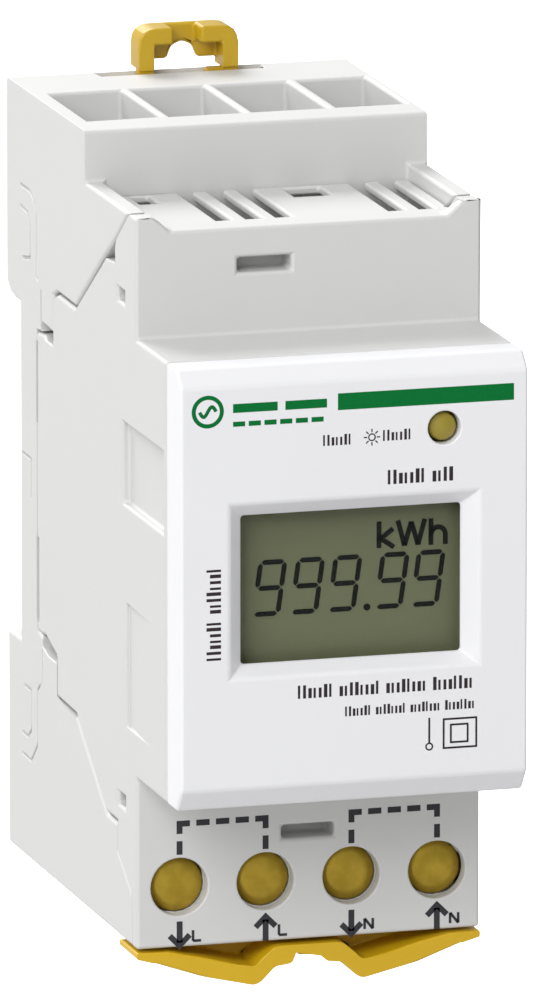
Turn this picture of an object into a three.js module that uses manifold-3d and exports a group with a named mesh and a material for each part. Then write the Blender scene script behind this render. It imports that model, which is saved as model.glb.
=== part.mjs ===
// Two-module electric energy meter for a 35 mm mounting rail, as an assembly of separate solids.
// Millimetres, +X right, +Y back, +Z up. The origin is the centre of the rail seat.
// Depths are given as u, the distance forward of the rail seat, so u = -Y.

import * as THREE from 'three';
import { mergeVertices } from 'three/addons/utils/BufferGeometryUtils.js';
import Module from 'manifold-3d';

const wasm = await Module();
wasm.setup();

// ---------------------------------------------------------------- driving dimensions

const MODULE = 18; // width of one rail module
const HALF_WIDTH = MODULE; // two modules side by side
const TERMINAL_PITCH = MODULE / 2;
const HALF_HEIGHT = 40.2; // body, without the rail clips
const HALF_WINDOW = 22.5; // half of the 45 mm panel window
const SHOULDER_U = 44; // rail seat to the shoulder behind the panel
const TOP_BLOCK_U = 25; // rail seat to the front of the top block
const NECK_U = 55; // rail seat to the joint between neck and cover
const FACE_U = 60.5; // rail seat to the cover's face
const REAR_U = -5; // the body reaches this far behind the seat
const RAIL_EDGE = 17.65; // half height of the rail recess
const SHELF_Z = 33.4;
const LIP_Z = 34.9;

const SIDE_WALL = 2;
const WALL = 1.6;
const GAP = 0.3; // clearance between separate pieces
const INNER_X = HALF_WIDTH - SIDE_WALL;
const INNER_WINDOW = HALF_WINDOW - WALL;
const FRONT_WALL_U = SHOULDER_U - WALL; // rear face of the shoulder wall
const BOTTOM_Z = -HALF_HEIGHT;
const FLOOR_Z = -38.6; // underside of the floor, above the clip tray
const FLOOR_THICKNESS = 1;
const BACK_WALL = 1.8;

const SCREW_Z = -33.95;
const TERMINAL_X = [-1.5, -0.5, 0.5, 1.5].map((step) => step * TERMINAL_PITCH);

const CHANNEL_HALF_WIDTH = 8.7; // rail clip channel in the back of the body
const CHANNEL_U = [-4.4, -2.4];
const CLAW_POCKET_U = -1.3;
const CLAW_POCKET_Z = 23;
const CLAW_TIP_Z = 16.2;

// ---------------------------------------------------------------- solids

function toSolid(geometry) {
  geometry.deleteAttribute('normal');
  geometry.deleteAttribute('uv');
  const welded = mergeVertices(geometry, 1e-4);
  const mesh = new wasm.Mesh({
    numProp: 3,
    vertProperties: new Float32Array(welded.attributes.position.array),
    triVerts: new Uint32Array(welded.index.array),
  });
  return new wasm.Manifold(mesh);
}

// A closed outline. A point may carry a third number, the fillet radius at that corner.
function outline(points) {
  const shape = new THREE.Shape();
  const count = points.length;
  points.forEach((point, index) => {
    const here = new THREE.Vector2(point[0], point[1]);
    const radius = point[2] ?? 0;
    const before = points[(index + count - 1) % count];
    const after = points[(index + 1) % count];
    const toBefore = new THREE.Vector2(before[0], before[1]).sub(here);
    const toAfter = new THREE.Vector2(after[0], after[1]).sub(here);
    const start = here.clone().addScaledVector(toBefore.normalize(), radius);
    const end = here.clone().addScaledVector(toAfter.normalize(), radius);
    if (index === 0) {
      shape.moveTo(start.x, start.y);
    } else {
      shape.lineTo(start.x, start.y);
    }
    if (radius > 0) {
      shape.quadraticCurveTo(here.x, here.y, end.x, end.y);
    }
  });
  shape.closePath();
  return shape;
}

function extrusion(points, depth, basis, origin) {
  const geometry = new THREE.ExtrudeGeometry(outline(points), {
    depth,
    bevelEnabled: false,
    curveSegments: 4,
  });
  const matrix = new THREE.Matrix4().makeBasis(...basis).setPosition(...origin);
  geometry.applyMatrix4(matrix);
  return toSolid(geometry);
}

const RIGHT = new THREE.Vector3(1, 0, 0);
const FORWARD = new THREE.Vector3(0, -1, 0);
const UP = new THREE.Vector3(0, 0, 1);

// Outline of (u, z) points carried across the width.
function alongX(points, x0, x1) {
  return extrusion(points, x1 - x0, [FORWARD, UP, RIGHT.clone().negate()], [x1, 0, 0]);
}

// Outline of (x, z) points carried forward.
function alongU(points, u0, u1) {
  return extrusion(points, u1 - u0, [RIGHT, UP, FORWARD], [0, -u0, 0]);
}

// Outline of (x, u) points carried up.
function alongZ(points, z0, z1) {
  return extrusion(points, z1 - z0, [RIGHT, FORWARD, UP.clone().negate()], [0, 0, z1]);
}

function block(x0, x1, u0, u1, z0, z1) {
  const geometry = new THREE.BoxGeometry(x1 - x0, u1 - u0, z1 - z0);
  geometry.translate((x0 + x1) / 2, -(u0 + u1) / 2, (z0 + z1) / 2);
  return toSolid(geometry);
}

// A turned piece: the profile holds (radius, distance along the axis) pairs.
function turned(profile, axis, x, u, z, sides = 24) {
  const points = profile.map(([radius, along]) => new THREE.Vector2(radius, along));
  const geometry = new THREE.LatheGeometry(points, sides);
  const turn = new THREE.Quaternion().setFromUnitVectors(new THREE.Vector3(0, 1, 0), axis);
  geometry.applyQuaternion(turn);
  geometry.translate(x, -u, z);
  return toSolid(geometry);
}

function rod(radius, length, axis, x, u, z, sides = 24) {
  return turned([[0, 0], [radius, 0], [radius, length], [0, length]], axis, x, u, z, sides);
}

// A band of constant width that follows a line of (u, z) points, as a closed outline.
function band(points, width) {
  const line = points.map(([a, b]) => new THREE.Vector2(a, b));
  const offset = line.map((point, index) => {
    const before = line[Math.max(index - 1, 0)];
    const after = line[Math.min(index + 1, line.length - 1)];
    const into = point.clone().sub(before).normalize();
    const out = after.clone().sub(point).normalize();
    const direction = into.clone().add(out).normalize();
    const straight = index === 0 ? out : into;
    const scale = width / 2 / Math.max(direction.dot(straight), 0.35);
    return new THREE.Vector2(-direction.y, direction.x).multiplyScalar(scale);
  });
  const left = line.map((point, index) => point.clone().add(offset[index]));
  const right = line.map((point, index) => point.clone().sub(offset[index])).reverse();
  return [...left, ...right].map((point) => [point.x, point.y]);
}

const union = (...solids) => solids.reduce((sum, solid) => sum.add(solid));
const cut = (solid, ...tools) => tools.reduce((rest, tool) => rest.subtract(tool), solid);

// The same cutter on the left and the right side face, given as (u, z) outline and depth.
function onBothSides(points, depth) {
  const left = alongX(points, -HALF_WIDTH - 1, -HALF_WIDTH + depth);
  const right = alongX(points, HALF_WIDTH - depth, HALF_WIDTH + 1);
  return union(left, right);
}

const rectangle = (a0, a1, b0, b1) => [[a0, b0], [a1, b0], [a1, b1], [a0, b1]];

// ---------------------------------------------------------------- finishes

const FINISH = {
  housing: { color: 0xe6e6e5, roughness: 0.45, metalness: 0 },
  cover: { color: 0xf0f0f2, roughness: 0.4, metalness: 0 },
  clip: { color: 0xd9b022, roughness: 0.4, metalness: 0 },
  clear: { color: 0xcfe0e0, roughness: 0.05, metalness: 0, transparent: true, opacity: 0.35 },
  amber: { color: 0x9a8a2c, roughness: 0.3, metalness: 0 },
  liquid_crystal: { color: 0x6b6f57, roughness: 0.2, metalness: 0 },
  frame_plastic: { color: 0x2c2d2e, roughness: 0.6, metalness: 0 },
  milky: { color: 0xe8e8dd, roughness: 0.4, metalness: 0 },
  elastomer: { color: 0x3a3a40, roughness: 0.8, metalness: 0 },
  board: { color: 0x1f5c38, roughness: 0.5, metalness: 0 },
  chip: { color: 0x202124, roughness: 0.5, metalness: 0 },
  can: { color: 0xb9bcc0, roughness: 0.3, metalness: 0.9 },
  capacitor_blue: { color: 0x23528f, roughness: 0.4, metalness: 0 },
  capacitor_yellow: { color: 0xd8b23a, roughness: 0.5, metalness: 0 },
  resistor: { color: 0x8a9c72, roughness: 0.6, metalness: 0 },
  copper: { color: 0xc07a4a, roughness: 0.35, metalness: 1 },
  shunt_alloy: { color: 0xa9a196, roughness: 0.4, metalness: 1 },
  steel: { color: 0xc3c6c8, roughness: 0.35, metalness: 1 },
  brass: { color: 0xa08c34, roughness: 0.35, metalness: 1 },
  carrier: { color: 0xcfcdc6, roughness: 0.6, metalness: 0 },
  insulation: { color: 0x2b4c9b, roughness: 0.5, metalness: 0 },
};

const meter = new THREE.Group();

function addPart(name, solid, finish, position = [0, 0, 0]) {
  const result = solid.getMesh();
  const geometry = new THREE.BufferGeometry();
  geometry.setAttribute('position', new THREE.BufferAttribute(result.vertProperties, 3));
  geometry.setIndex(new THREE.BufferAttribute(result.triVerts, 1));
  geometry.computeVertexNormals();
  const mesh = new THREE.Mesh(geometry, new THREE.MeshStandardMaterial(FINISH[finish]));
  mesh.name = name;
  mesh.position.set(...position);
  meter.add(mesh);
}

// ---------------------------------------------------------------- the two housings

// Side view of the closed body. The rail hooks end in a rounded lower edge above the rail.
const SIDE_VIEW = [
  [REAR_U, HALF_HEIGHT, 0.8],
  [TOP_BLOCK_U, HALF_HEIGHT, 0.5],
  [TOP_BLOCK_U, LIP_Z],
  [SHOULDER_U, LIP_Z, 0.4],
  [SHOULDER_U, HALF_WINDOW],
  [NECK_U, HALF_WINDOW],
  [NECK_U, -HALF_WINDOW],
  [SHOULDER_U, -HALF_WINDOW],
  [SHOULDER_U, BOTTOM_Z],
  [REAR_U, BOTTOM_Z],
  [REAR_U, -RAIL_EDGE],
  [0, -RAIL_EDGE],
  [0, RAIL_EDGE],
  [-1.9, RAIL_EDGE],
  [-3.8, RAIL_EDGE + 0.3],
  [REAR_U, RAIL_EDGE + 1.1],
];

// Joint between the rear and the front housing, from the top edge down to the bottom edge.
const PARTING = [
  [43, 36], [36.4, 31.2], [31.9, 28.4], [21.25, 21.3], [14.4, 21.4], [12.85, 20.8],
  [12.85, 16.4], [6.5, 16], [6.5, -15.2], [14.1, -16.6], [14.1, -20.8], [21.35, -21],
  [32.7, -28.5], [36.8, -28.6], [36.8, -31.5], [42.2, -34.8], [42.2, -42],
];
const PARTING_GAP = band(PARTING, GAP);
const FRONT_REGION = [...PARTING, [FACE_U, -42], [FACE_U, 36]];

function sideWalls() {
  const left = alongX(SIDE_VIEW, -HALF_WIDTH, -INNER_X);
  const right = alongX(SIDE_VIEW, INNER_X, HALF_WIDTH);
  return union(left, right);
}

// Snap slots and gaps along the joint, cut from both housings.
function jointSlots() {
  const upperCorner = [[8.2, 17.3], [9.6, 17.3], [12.85, 16.9], [12.85, 15.6], [10.2, 15.6], [8.2, 16.4]];
  const lowerCorner = [[8.3, -15.4], [10, -15.1], [13.9, -16.2], [13.9, -17.2], [10.4, -17.2], [8.3, -16.6]];
  const upperSlot = rectangle(5.95, 6.95, 6.2, 14.7);
  const lowerSlot = rectangle(6.15, 7.15, -14.3, -5.7);
  const wedge = [[36.5, 31.4], [31.9, 28.55], [36.35, 28.9]];
  const openings = [upperCorner, lowerCorner, wedge, upperSlot, lowerSlot];
  return union(...openings.map((points) => onBothSides(points, SIDE_WALL + 1)));
}

// Relief lines moulded into the side faces beside the rail.
function reliefLines() {
  const lines = [
    [[0.2, 30], [3.7, 30], [5.6, 29.3], [6.4, 27.9], [6.3, 21.5], [7.1, 21.3]],
    [[0.2, 27.8], [3.3, 27.6], [4.05, 26.4], [4, 23], [0.9, 22.5]],
    [[8.2, 20.5], [8.2, 17.2]],
    [[0.7, 2.1], [4.2, 2.1], [4.2, -1.9]],
    [[8.3, -17], [8.3, -20.6]],
    [[1.3, -22.2], [4, -22.2], [4, -26.4], [2.8, -27.3], [0.5, -27.3]],
    [[0.4, -29.5], [3.95, -29.6], [6.3, -27.5], [6.3, -21.7], [7.5, -20.9]],
  ];
  return union(...lines.map((line) => onBothSides(band(line, 0.3), 0.3)));
}

const POCKET_X = [[-16.4, -8.6], [-7.6, 0.1], [1.1, 8.9], [10, 17.2]];
const POCKET_U = [5, 20];
const POCKET_FLOOR_Z = 26;
const TOP_BLOCK_UNDERSIDE = 24.5;

function clipChannel(side) {
  const [low, high] = side > 0 ? [RAIL_EDGE - 1, HALF_HEIGHT + 1] : [BOTTOM_Z - 1, 1 - RAIL_EDGE];
  const slide = block(-CHANNEL_HALF_WIDTH, CHANNEL_HALF_WIDTH, ...CHANNEL_U, low, high);
  const edges = [side * (RAIL_EDGE - 1), side * CLAW_POCKET_Z].sort((a, b) => a - b);
  const pocketU = [CHANNEL_U[0], CLAW_POCKET_U];
  const pocket = block(-CHANNEL_HALF_WIDTH, CHANNEL_HALF_WIDTH, ...pocketU, ...edges);
  return union(slide, pocket);
}

// The side walls are thinner beside the outer clamps.
const terminalRoom = () => block(-17.35, 17.35, 17, FRONT_WALL_U, -37.5, -29);
const OVERLAP = 0.2; // how far joined blocks run into each other
const ENTRY_HALF_WIDTH = 3;
const ENTRY_U = [19.6, 26];

function rearHousing() {
  const walls = cut(sideWalls(), alongX(FRONT_REGION, -HALF_WIDTH - 1, HALF_WIDTH + 1));
  const backWall = block(-INNER_X, INNER_X, 0, BACK_WALL, FLOOR_Z, HALF_HEIGHT - 1);
  const topBlock = alongX([
    [REAR_U, HALF_HEIGHT, 0.8], [TOP_BLOCK_U, HALF_HEIGHT, 0.5], [TOP_BLOCK_U, TOP_BLOCK_UNDERSIDE],
    [OVERLAP, TOP_BLOCK_UNDERSIDE], [OVERLAP, RAIL_EDGE + OVERLAP], [0, RAIL_EDGE],
    [-1.9, RAIL_EDGE], [-3.8, RAIL_EDGE + 0.3], [REAR_U, RAIL_EDGE + 1.1],
  ], -INNER_X, INNER_X);
  const lowerRear = alongX([
    [REAR_U, BOTTOM_Z], [OVERLAP, BOTTOM_Z], [OVERLAP, -RAIL_EDGE - OVERLAP], [0, -RAIL_EDGE],
    [REAR_U, -RAIL_EDGE],
  ], -INNER_X, INNER_X);
  const floor = block(-INNER_X, INNER_X, 0, FRONT_WALL_U - GAP, FLOOR_Z, FLOOR_Z + FLOOR_THICKNESS);
  const pockets = POCKET_X.map(([x0, x1]) => block(x0, x1, ...POCKET_U, POCKET_FLOOR_Z, HALF_HEIGHT + 1));
  const entries = TERMINAL_X.map((x) => {
    return block(x - ENTRY_HALF_WIDTH, x + ENTRY_HALF_WIDTH, ...ENTRY_U, FLOOR_Z - 1, FLOOR_Z + 2);
  });
  const footPassage = block(
    -CHANNEL_HALF_WIDTH, CHANNEL_HALF_WIDTH, CHANNEL_U[1] - 0.1, 0.5, BOTTOM_Z - 1, FLOOR_Z,
  );
  const clawRelief = [-1, 1].map((side) => {
    const z = [side * (CLAW_TIP_Z - 0.4), side * (RAIL_EDGE + 0.15)].sort((a, b) => a - b);
    return block(-CHANNEL_HALF_WIDTH, CHANNEL_HALF_WIDTH, -1, 0.3, ...z);
  });
  const body = union(cut(walls, terminalRoom()), backWall, topBlock, lowerRear, floor);
  return cut(
    body, ...clawRelief, ...pockets, ...entries, footPassage, clipChannel(1), clipChannel(-1),
    onBothSides(PARTING_GAP, SIDE_WALL + 0.5), jointSlots(), reliefLines(),
  );
}

const SHELF_HALF_WIDTH = INNER_X - GAP;
const VENT_X = [[-8.4, -6.9], [-5.3, -3.7], [-2.2, -0.6], [9.6, 11.2], [12.8, 14.3]];
const SNAP_OPENINGS = [[2.5, 6.3, 26, 30.6], [-13.5, -11.6, 25.8, 30]];
const SCREW_HOLE_RADIUS = 2.98;
const SLEEVE_U = 38.9;
const PRY_SLOTS = [[-7.4, -1.8, 28.75, 30.3], [-2.8, 2.7, -29.7, -28.3]];
const PRY_FLOOR_U = 40.6; // bottom of the blind slots that a screwdriver opens the case with

// Shoulder wall with raised ears at both ends, and the wall behind the terminal screws.
function frontWalls() {
  const ear = [[HALF_WIDTH, LIP_Z], [16.4, LIP_Z], [15.4, LIP_Z - 0.6], [14.4, SHELF_Z]];
  const mirrored = ear.map(([x, z]) => [-x, z]).reverse();
  const shoulder = [[-HALF_WIDTH, INNER_WINDOW], [HALF_WIDTH, INNER_WINDOW], ...ear, ...mirrored];
  const upper = alongU(shoulder, FRONT_WALL_U, SHOULDER_U);
  const lower = block(-HALF_WIDTH, HALF_WIDTH, FRONT_WALL_U, SHOULDER_U, BOTTOM_Z, -INNER_WINDOW);
  return union(upper, lower);
}

function frontHousing() {
  const region = alongX(FRONT_REGION, -HALF_WIDTH - 1, HALF_WIDTH + 1);
  const walls = cut(sideWalls().intersect(region), terminalRoom());
  const frontFace = frontWalls();
  const neckTop = block(-INNER_X, INNER_X, FRONT_WALL_U, NECK_U, INNER_WINDOW, HALF_WINDOW);
  const neckBottom = block(-INNER_X, INNER_X, FRONT_WALL_U, NECK_U, -HALF_WINDOW, -INNER_WINDOW);
  const shelfU = [TOP_BLOCK_U + GAP, FRONT_WALL_U + 0.2];
  const shelf = block(-SHELF_HALF_WIDTH, SHELF_HALF_WIDTH, ...shelfU, SHELF_Z - 0.9, SHELF_Z);
  const aboveFloor = block(-INNER_X, INNER_X, 0, NECK_U, FLOOR_Z + FLOOR_THICKNESS + GAP, 0);
  const sleeves = TERMINAL_X.map((x) => {
    return rod(3.8, FRONT_WALL_U - SLEEVE_U + 0.2, FORWARD, x, SLEEVE_U, SCREW_Z).intersect(aboveFloor);
  });
  const vents = VENT_X.map(([x0, x1]) => block(x0, x1, TOP_BLOCK_U - 1, 40, SHELF_Z - 3, SHELF_Z + 1));
  const snaps = SNAP_OPENINGS.map(([x0, x1, u0, u1]) => block(x0, x1, u0, u1, SHELF_Z - 3, SHELF_Z + 1));
  const holes = TERMINAL_X.map((x) => rod(SCREW_HOLE_RADIUS, 4, FORWARD, x, SHOULDER_U - 3, SCREW_Z, 32));
  const bores = TERMINAL_X.map((x) => {
    return rod(3.2, FRONT_WALL_U - SLEEVE_U + 1, FORWARD, x, SLEEVE_U - 1, SCREW_Z);
  });
  const pryBacks = PRY_SLOTS.map(([x0, x1, z0, z1]) => {
    return block(x0 - 0.8, x1 + 0.8, PRY_FLOOR_U - 0.8, FRONT_WALL_U + 0.2, z0 - 0.8, z1 + 0.8);
  });
  const prySlots = PRY_SLOTS.map(([x0, x1, z0, z1]) => block(x0, x1, PRY_FLOOR_U, SHOULDER_U + 1, z0, z1));
  const labelRecess = onBothSides(rectangle(38.9, 54.05, 4.8, 13.2), 0.85);
  const latchHoles = [25.3, -26.6].map((z) => onBothSides(rectangle(37, 39.8, z, z + 1.3), SIDE_WALL + 1));
  const ramps = [-1, 1].map((side) => {
    const floor = [[side * HALF_WIDTH, 40.45], [side * (HALF_WIDTH - 0.35), 40.45], [side * HALF_WIDTH, 50]];
    const lead = [[side * (HALF_WIDTH + 1), 50], [side * (HALF_WIDTH + 1), 40.45]];
    return alongZ([...floor, ...lead], -17.9, -5.2);
  });
  const body = union(walls, frontFace, neckTop, neckBottom, shelf, ...sleeves, ...pryBacks);
  return cut(
    body, ...vents, ...snaps, ...holes, ...bores, ...prySlots, labelRecess,
    ...latchHoles, ...ramps, onBothSides(PARTING_GAP, SIDE_WALL + 0.5), jointSlots(),
  );
}

// ---------------------------------------------------------------- cover

const COVER_REAR_U = NECK_U + GAP;
const COVER_SKIRT_U = 58.7;
const LED_X = 9.3;
const LED_Z = 15.35;

// Tapered window: a wide mouth in the face narrows to the opening over the display.
function windowCutter() {
  const mouth = rectangle(-12.95, 12.95, -9, 8.85);
  const opening = rectangle(-11.4, 11.4, -7.8, 7.35);
  const taperStart = 59;
  const through = alongU(opening, COVER_SKIRT_U - 2, taperStart + 0.05);
  const vertices = [];
  opening.forEach(([x, z]) => vertices.push(x, -taperStart, z));
  mouth.forEach(([x, z]) => vertices.push(x, -(FACE_U + 0.02), z));
  const faces = [0, 1, 2, 0, 2, 3, 4, 6, 5, 4, 7, 6];
  for (let corner = 0; corner < 4; corner += 1) {
    const next = (corner + 1) % 4;
    faces.push(corner, corner + 4, next, next, corner + 4, next + 4);
  }
  const geometry = new THREE.BufferGeometry();
  geometry.setAttribute('position', new THREE.Float32BufferAttribute(vertices, 3));
  geometry.setIndex(faces.reverse());
  let taper = toSolid(geometry);
  if (taper.volume() < 0) {
    geometry.setIndex(faces.reverse());
    taper = toSolid(geometry);
  }
  return union(through, taper);
}

function frontCover() {
  const shell = alongX([
    [COVER_REAR_U, -HALF_WINDOW], [COVER_SKIRT_U, -HALF_WINDOW], [FACE_U, -20.2],
    [FACE_U, 20.8], [COVER_SKIRT_U, HALF_WINDOW], [COVER_REAR_U, HALF_WINDOW],
  ], -HALF_WIDTH, HALF_WIDTH);
  const hollow = block(
    -INNER_X - 0.4, INNER_X + 0.4, COVER_REAR_U - 1, COVER_SKIRT_U, -INNER_WINDOW, INNER_WINDOW,
  );
  const ledHole = rod(1.72, 6, FORWARD, LED_X, COVER_SKIRT_U - 3, LED_Z);
  const tongues = [];
  for (const x of [-8, 8]) {
    for (const side of [-1, 1]) {
      const [z0, z1] = [side * (INNER_WINDOW - GAP), side * (INNER_WINDOW - GAP - 1)].sort((a, b) => a - b);
      tongues.push(block(x - 2, x + 2, 51.5, COVER_SKIRT_U + 0.1, z0, z1));
    }
  }
  return cut(union(cut(shell, hollow), ...tongues), windowCutter(), ledHole);
}

// ---------------------------------------------------------------- rail clips

const CLIP_HALF_WIDTH = CHANNEL_HALF_WIDTH - 0.4;
const CLIP_U = [-4.1, -2.7];
const CLAW_U = -1.6;

function clipSlider(side, farEnd) {
  const plateZ = [side * 18, farEnd].sort((a, b) => a - b);
  const clawZ = [side * CLAW_TIP_Z, side * 18.5].sort((a, b) => a - b);
  const plate = block(-CLIP_HALF_WIDTH, CLIP_HALF_WIDTH, ...CLIP_U, ...plateZ);
  const claw = block(-CLIP_HALF_WIDTH, CLIP_HALF_WIDTH, CLIP_U[0], CLAW_U, ...clawZ);
  return union(plate, claw);
}

// The upper clip ends in a pull loop that stands above the body.
function upperClip() {
  const centre = 0.7;
  const halfOuter = 5.3;
  const halfInner = 3.65;
  const loopTop = 44.8;
  const foot = 39;
  const loopU = [-6, -2.5];
  const above = HALF_HEIGHT + 0.2;
  const outer = [
    [centre - halfOuter, above], [centre + halfOuter, above],
    [centre + halfOuter, loopTop, 1.9], [centre - halfOuter, loopTop, 1.9],
  ];
  const inner = rectangle(centre - halfInner, centre + halfInner, above - 1, 43);
  const ring = cut(alongU(outer, ...loopU), alongU(inner, loopU[0] - 1, loopU[1] + 1));
  const legs = [-1, 1].map((side) => {
    const xs = [centre + side * halfOuter, centre + side * halfInner].sort((a, b) => a - b);
    return block(...xs, ...CLIP_U, foot - 1, above + 0.5);
  });
  const skirt = alongU([
    [centre - 3.8, 43.2], [centre - 3.8, 41.1], [centre - 1.6, 41.1], [centre - 1.1, 42.4],
    [centre, 42.9], [centre + 1.1, 42.4], [centre + 1.6, 41.1], [centre + 3.8, 41.1],
    [centre + 3.8, 43.2],
  ], loopU[0], loopU[0] + 1);
  const notch = block(centre - 1.6, centre + 1.3, loopU[0] + 1, loopU[1] + 1, 42, loopTop + 1);
  const strip = block(2.6, 4.8, ...CLIP_U, foot - 1, HALF_HEIGHT + 0.1);
  return cut(union(clipSlider(1, foot), ring, ...legs, skirt, strip), notch);
}

// The lower clip has a tray under the floor that carries a winged handle to the front.
function lowerClip() {
  const trayZ = [-40, -38.9];
  const foot = block(-CLIP_HALF_WIDTH, CLIP_HALF_WIDTH, CLIP_U[0], 0.8, ...trayZ);
  const tray = block(-15.4, 15.4, 0.6, 42, ...trayZ);
  const windows = TERMINAL_X.map((x) => block(x - 3.4, x + 3.4, ENTRY_U[0] - 0.4, ENTRY_U[1] + 0.4, -41, -38));
  const half = [
    [18, -40.5], [14.5, -40.6], [11.4, -41.3], [7.2, -42.4], [5.6, -42.65, 0.4], [4.9, -41.9],
    [3.5, -40.7, 0.6],
  ];
  const under = [
    [1.1, -41.8], [1.9, -42.6, 0.3], [3.5, -42.8, 0.4], [4.9, -44.2], [5.6, -44.65, 0.5],
    [11.4, -43.3], [16, -41.7], [18, -41.15, 0.2],
  ];
  const flip = (points) => points.map(([x, z, r]) => [-x, z, r]).reverse();
  const wing = alongU([...half, ...flip(half), ...flip(under), ...under], 37.6, 44.2);
  const wall = alongU([
    [-15.2, -39.5], [15.2, -39.5], [15.2, -41], [5.6, -43.2], [3.3, -41.3],
    [-3.3, -41.3], [-5.6, -43.2], [-15.2, -41],
  ], 37.6, 38.9);
  return union(clipSlider(-1, -40), foot, cut(tray, ...windows), wing, wall);
}

// ---------------------------------------------------------------- display stack

const LENS_U = [57.2, 58.4];
const LCD_U = [54.2, 56.9];
const GLASS_JOINT_U = 55.5; // where the rear glass meets the front glass
const GLASS_HALF_WIDTH = 12.2;
const BOARD_THICKNESS = 1.6;
const DISPLAY_BOARD_U = 50.2; // front face of the display board
const DISPLAY_BOARD_REAR = DISPLAY_BOARD_U - BOARD_THICKNESS;
const ON_DISPLAY_BOARD = DISPLAY_BOARD_U + GAP;

function addDisplay() {
  addPart('display_lens', block(-13.4, 13.4, ...LENS_U, -9.6, 9.2), 'clear');
  const frontGlass = block(-GLASS_HALF_WIDTH, GLASS_HALF_WIDTH, GLASS_JOINT_U, LCD_U[1], -8.5, 7.6);
  const rearGlass = block(-GLASS_HALF_WIDTH, GLASS_HALF_WIDTH, LCD_U[0], GLASS_JOINT_U, -8.7, 8.3);
  addPart('lcd_cell', union(frontGlass, rearGlass), 'liquid_crystal');
  const holderOuter = alongU(rectangle(-14.6, 14.6, -11.2, 10.8), ON_DISPLAY_BOARD, LCD_U[1]);
  const holderInner = block(-12.6, 12.6, 50, 58, -9, 8.6);
  addPart('lcd_holder', cut(holderOuter, holderInner), 'frame_plastic');
  addPart('light_guide', block(-12, 9.9, 51.6, 53.8, -6.2, 5.8), 'milky');
  addPart('backlight_led', block(10.3, 12.2, ON_DISPLAY_BOARD, 52.6, -1.2, 0.8), 'amber');
  addPart('upper_elastomer', block(-11.5, 11.5, ON_DISPLAY_BOARD, LCD_U[0] - GAP, 6.5, 8.1), 'elastomer');
  addPart('lower_elastomer', block(-11.5, 11.5, ON_DISPLAY_BOARD, LCD_U[0] - GAP, -8.5, -6.9), 'elastomer');
  const board = block(-15.6, 15.6, DISPLAY_BOARD_REAR, DISPLAY_BOARD_U, -19.6, 19.6);
  const pinHoles = [-1, 1].map((side) => rod(1.1, 4, FORWARD, side * 13.4, DISPLAY_BOARD_REAR - 1, -17));
  addPart('display_board', cut(board, ...pinHoles), 'board');
}

// The pulse lamp shines through a short light pipe whose end sits in the cover's hole.
function addPulseLamp() {
  const lamp = [[0, 0], [1.9, 0], [1.9, 0.8], [1.5, 0.8], [1.5, 2.4], [1.3, 3.1], [0.8, 3.6], [0, 3.8]];
  addPart('pulse_led', turned(lamp, FORWARD, 0, 0, 0), 'amber', [LED_X, -ON_DISPLAY_BOARD, LED_Z]);
  const pipe = [[0, 0], [1.42, 0], [1.42, 2], [2.3, 2], [2.3, 3], [1.42, 3], [1.42, 4.7], [1.1, 5.05], [0, 5.15]];
  addPart('pulse_lens', turned(pipe, FORWARD, 0, 0, 0), 'amber', [LED_X, -55, LED_Z]);
}

const LINK_PINS = 8;
const LINK_PITCH = 2.54;

function addDisplayElectronics() {
  const behindBoard = DISPLAY_BOARD_REAR - GAP;
  addPart('microcontroller', block(-4, 6, behindBoard - 1.5, behindBoard, -4, 6), 'chip');
  addPart('memory_chip', block(9, 13, behindBoard - 1.5, behindBoard, -3, 2), 'chip');
  addPart('clock_crystal', rod(1.05, 6, RIGHT, -2, behindBoard - 1.1, -9, 12), 'can');
  const bodyZ = (LINK_PINS * LINK_PITCH) / 2;
  const body = block(-10.2, -7.7, 44.6, behindBoard, -bodyZ, bodyZ);
  const pins = [];
  for (let index = 0; index < LINK_PINS; index += 1) {
    const z = (index - (LINK_PINS - 1) / 2) * LINK_PITCH;
    pins.push(block(-9.3, -8.7, 42, 45, z - 0.3, z + 0.3));
  }
  addPart('board_link_header', union(body, ...pins), 'frame_plastic');
}

// ---------------------------------------------------------------- metering and supply board

const MAIN_BOARD_X = -11; // component face of the main board
const ON_MAIN_BOARD = MAIN_BOARD_X + GAP;

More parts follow.
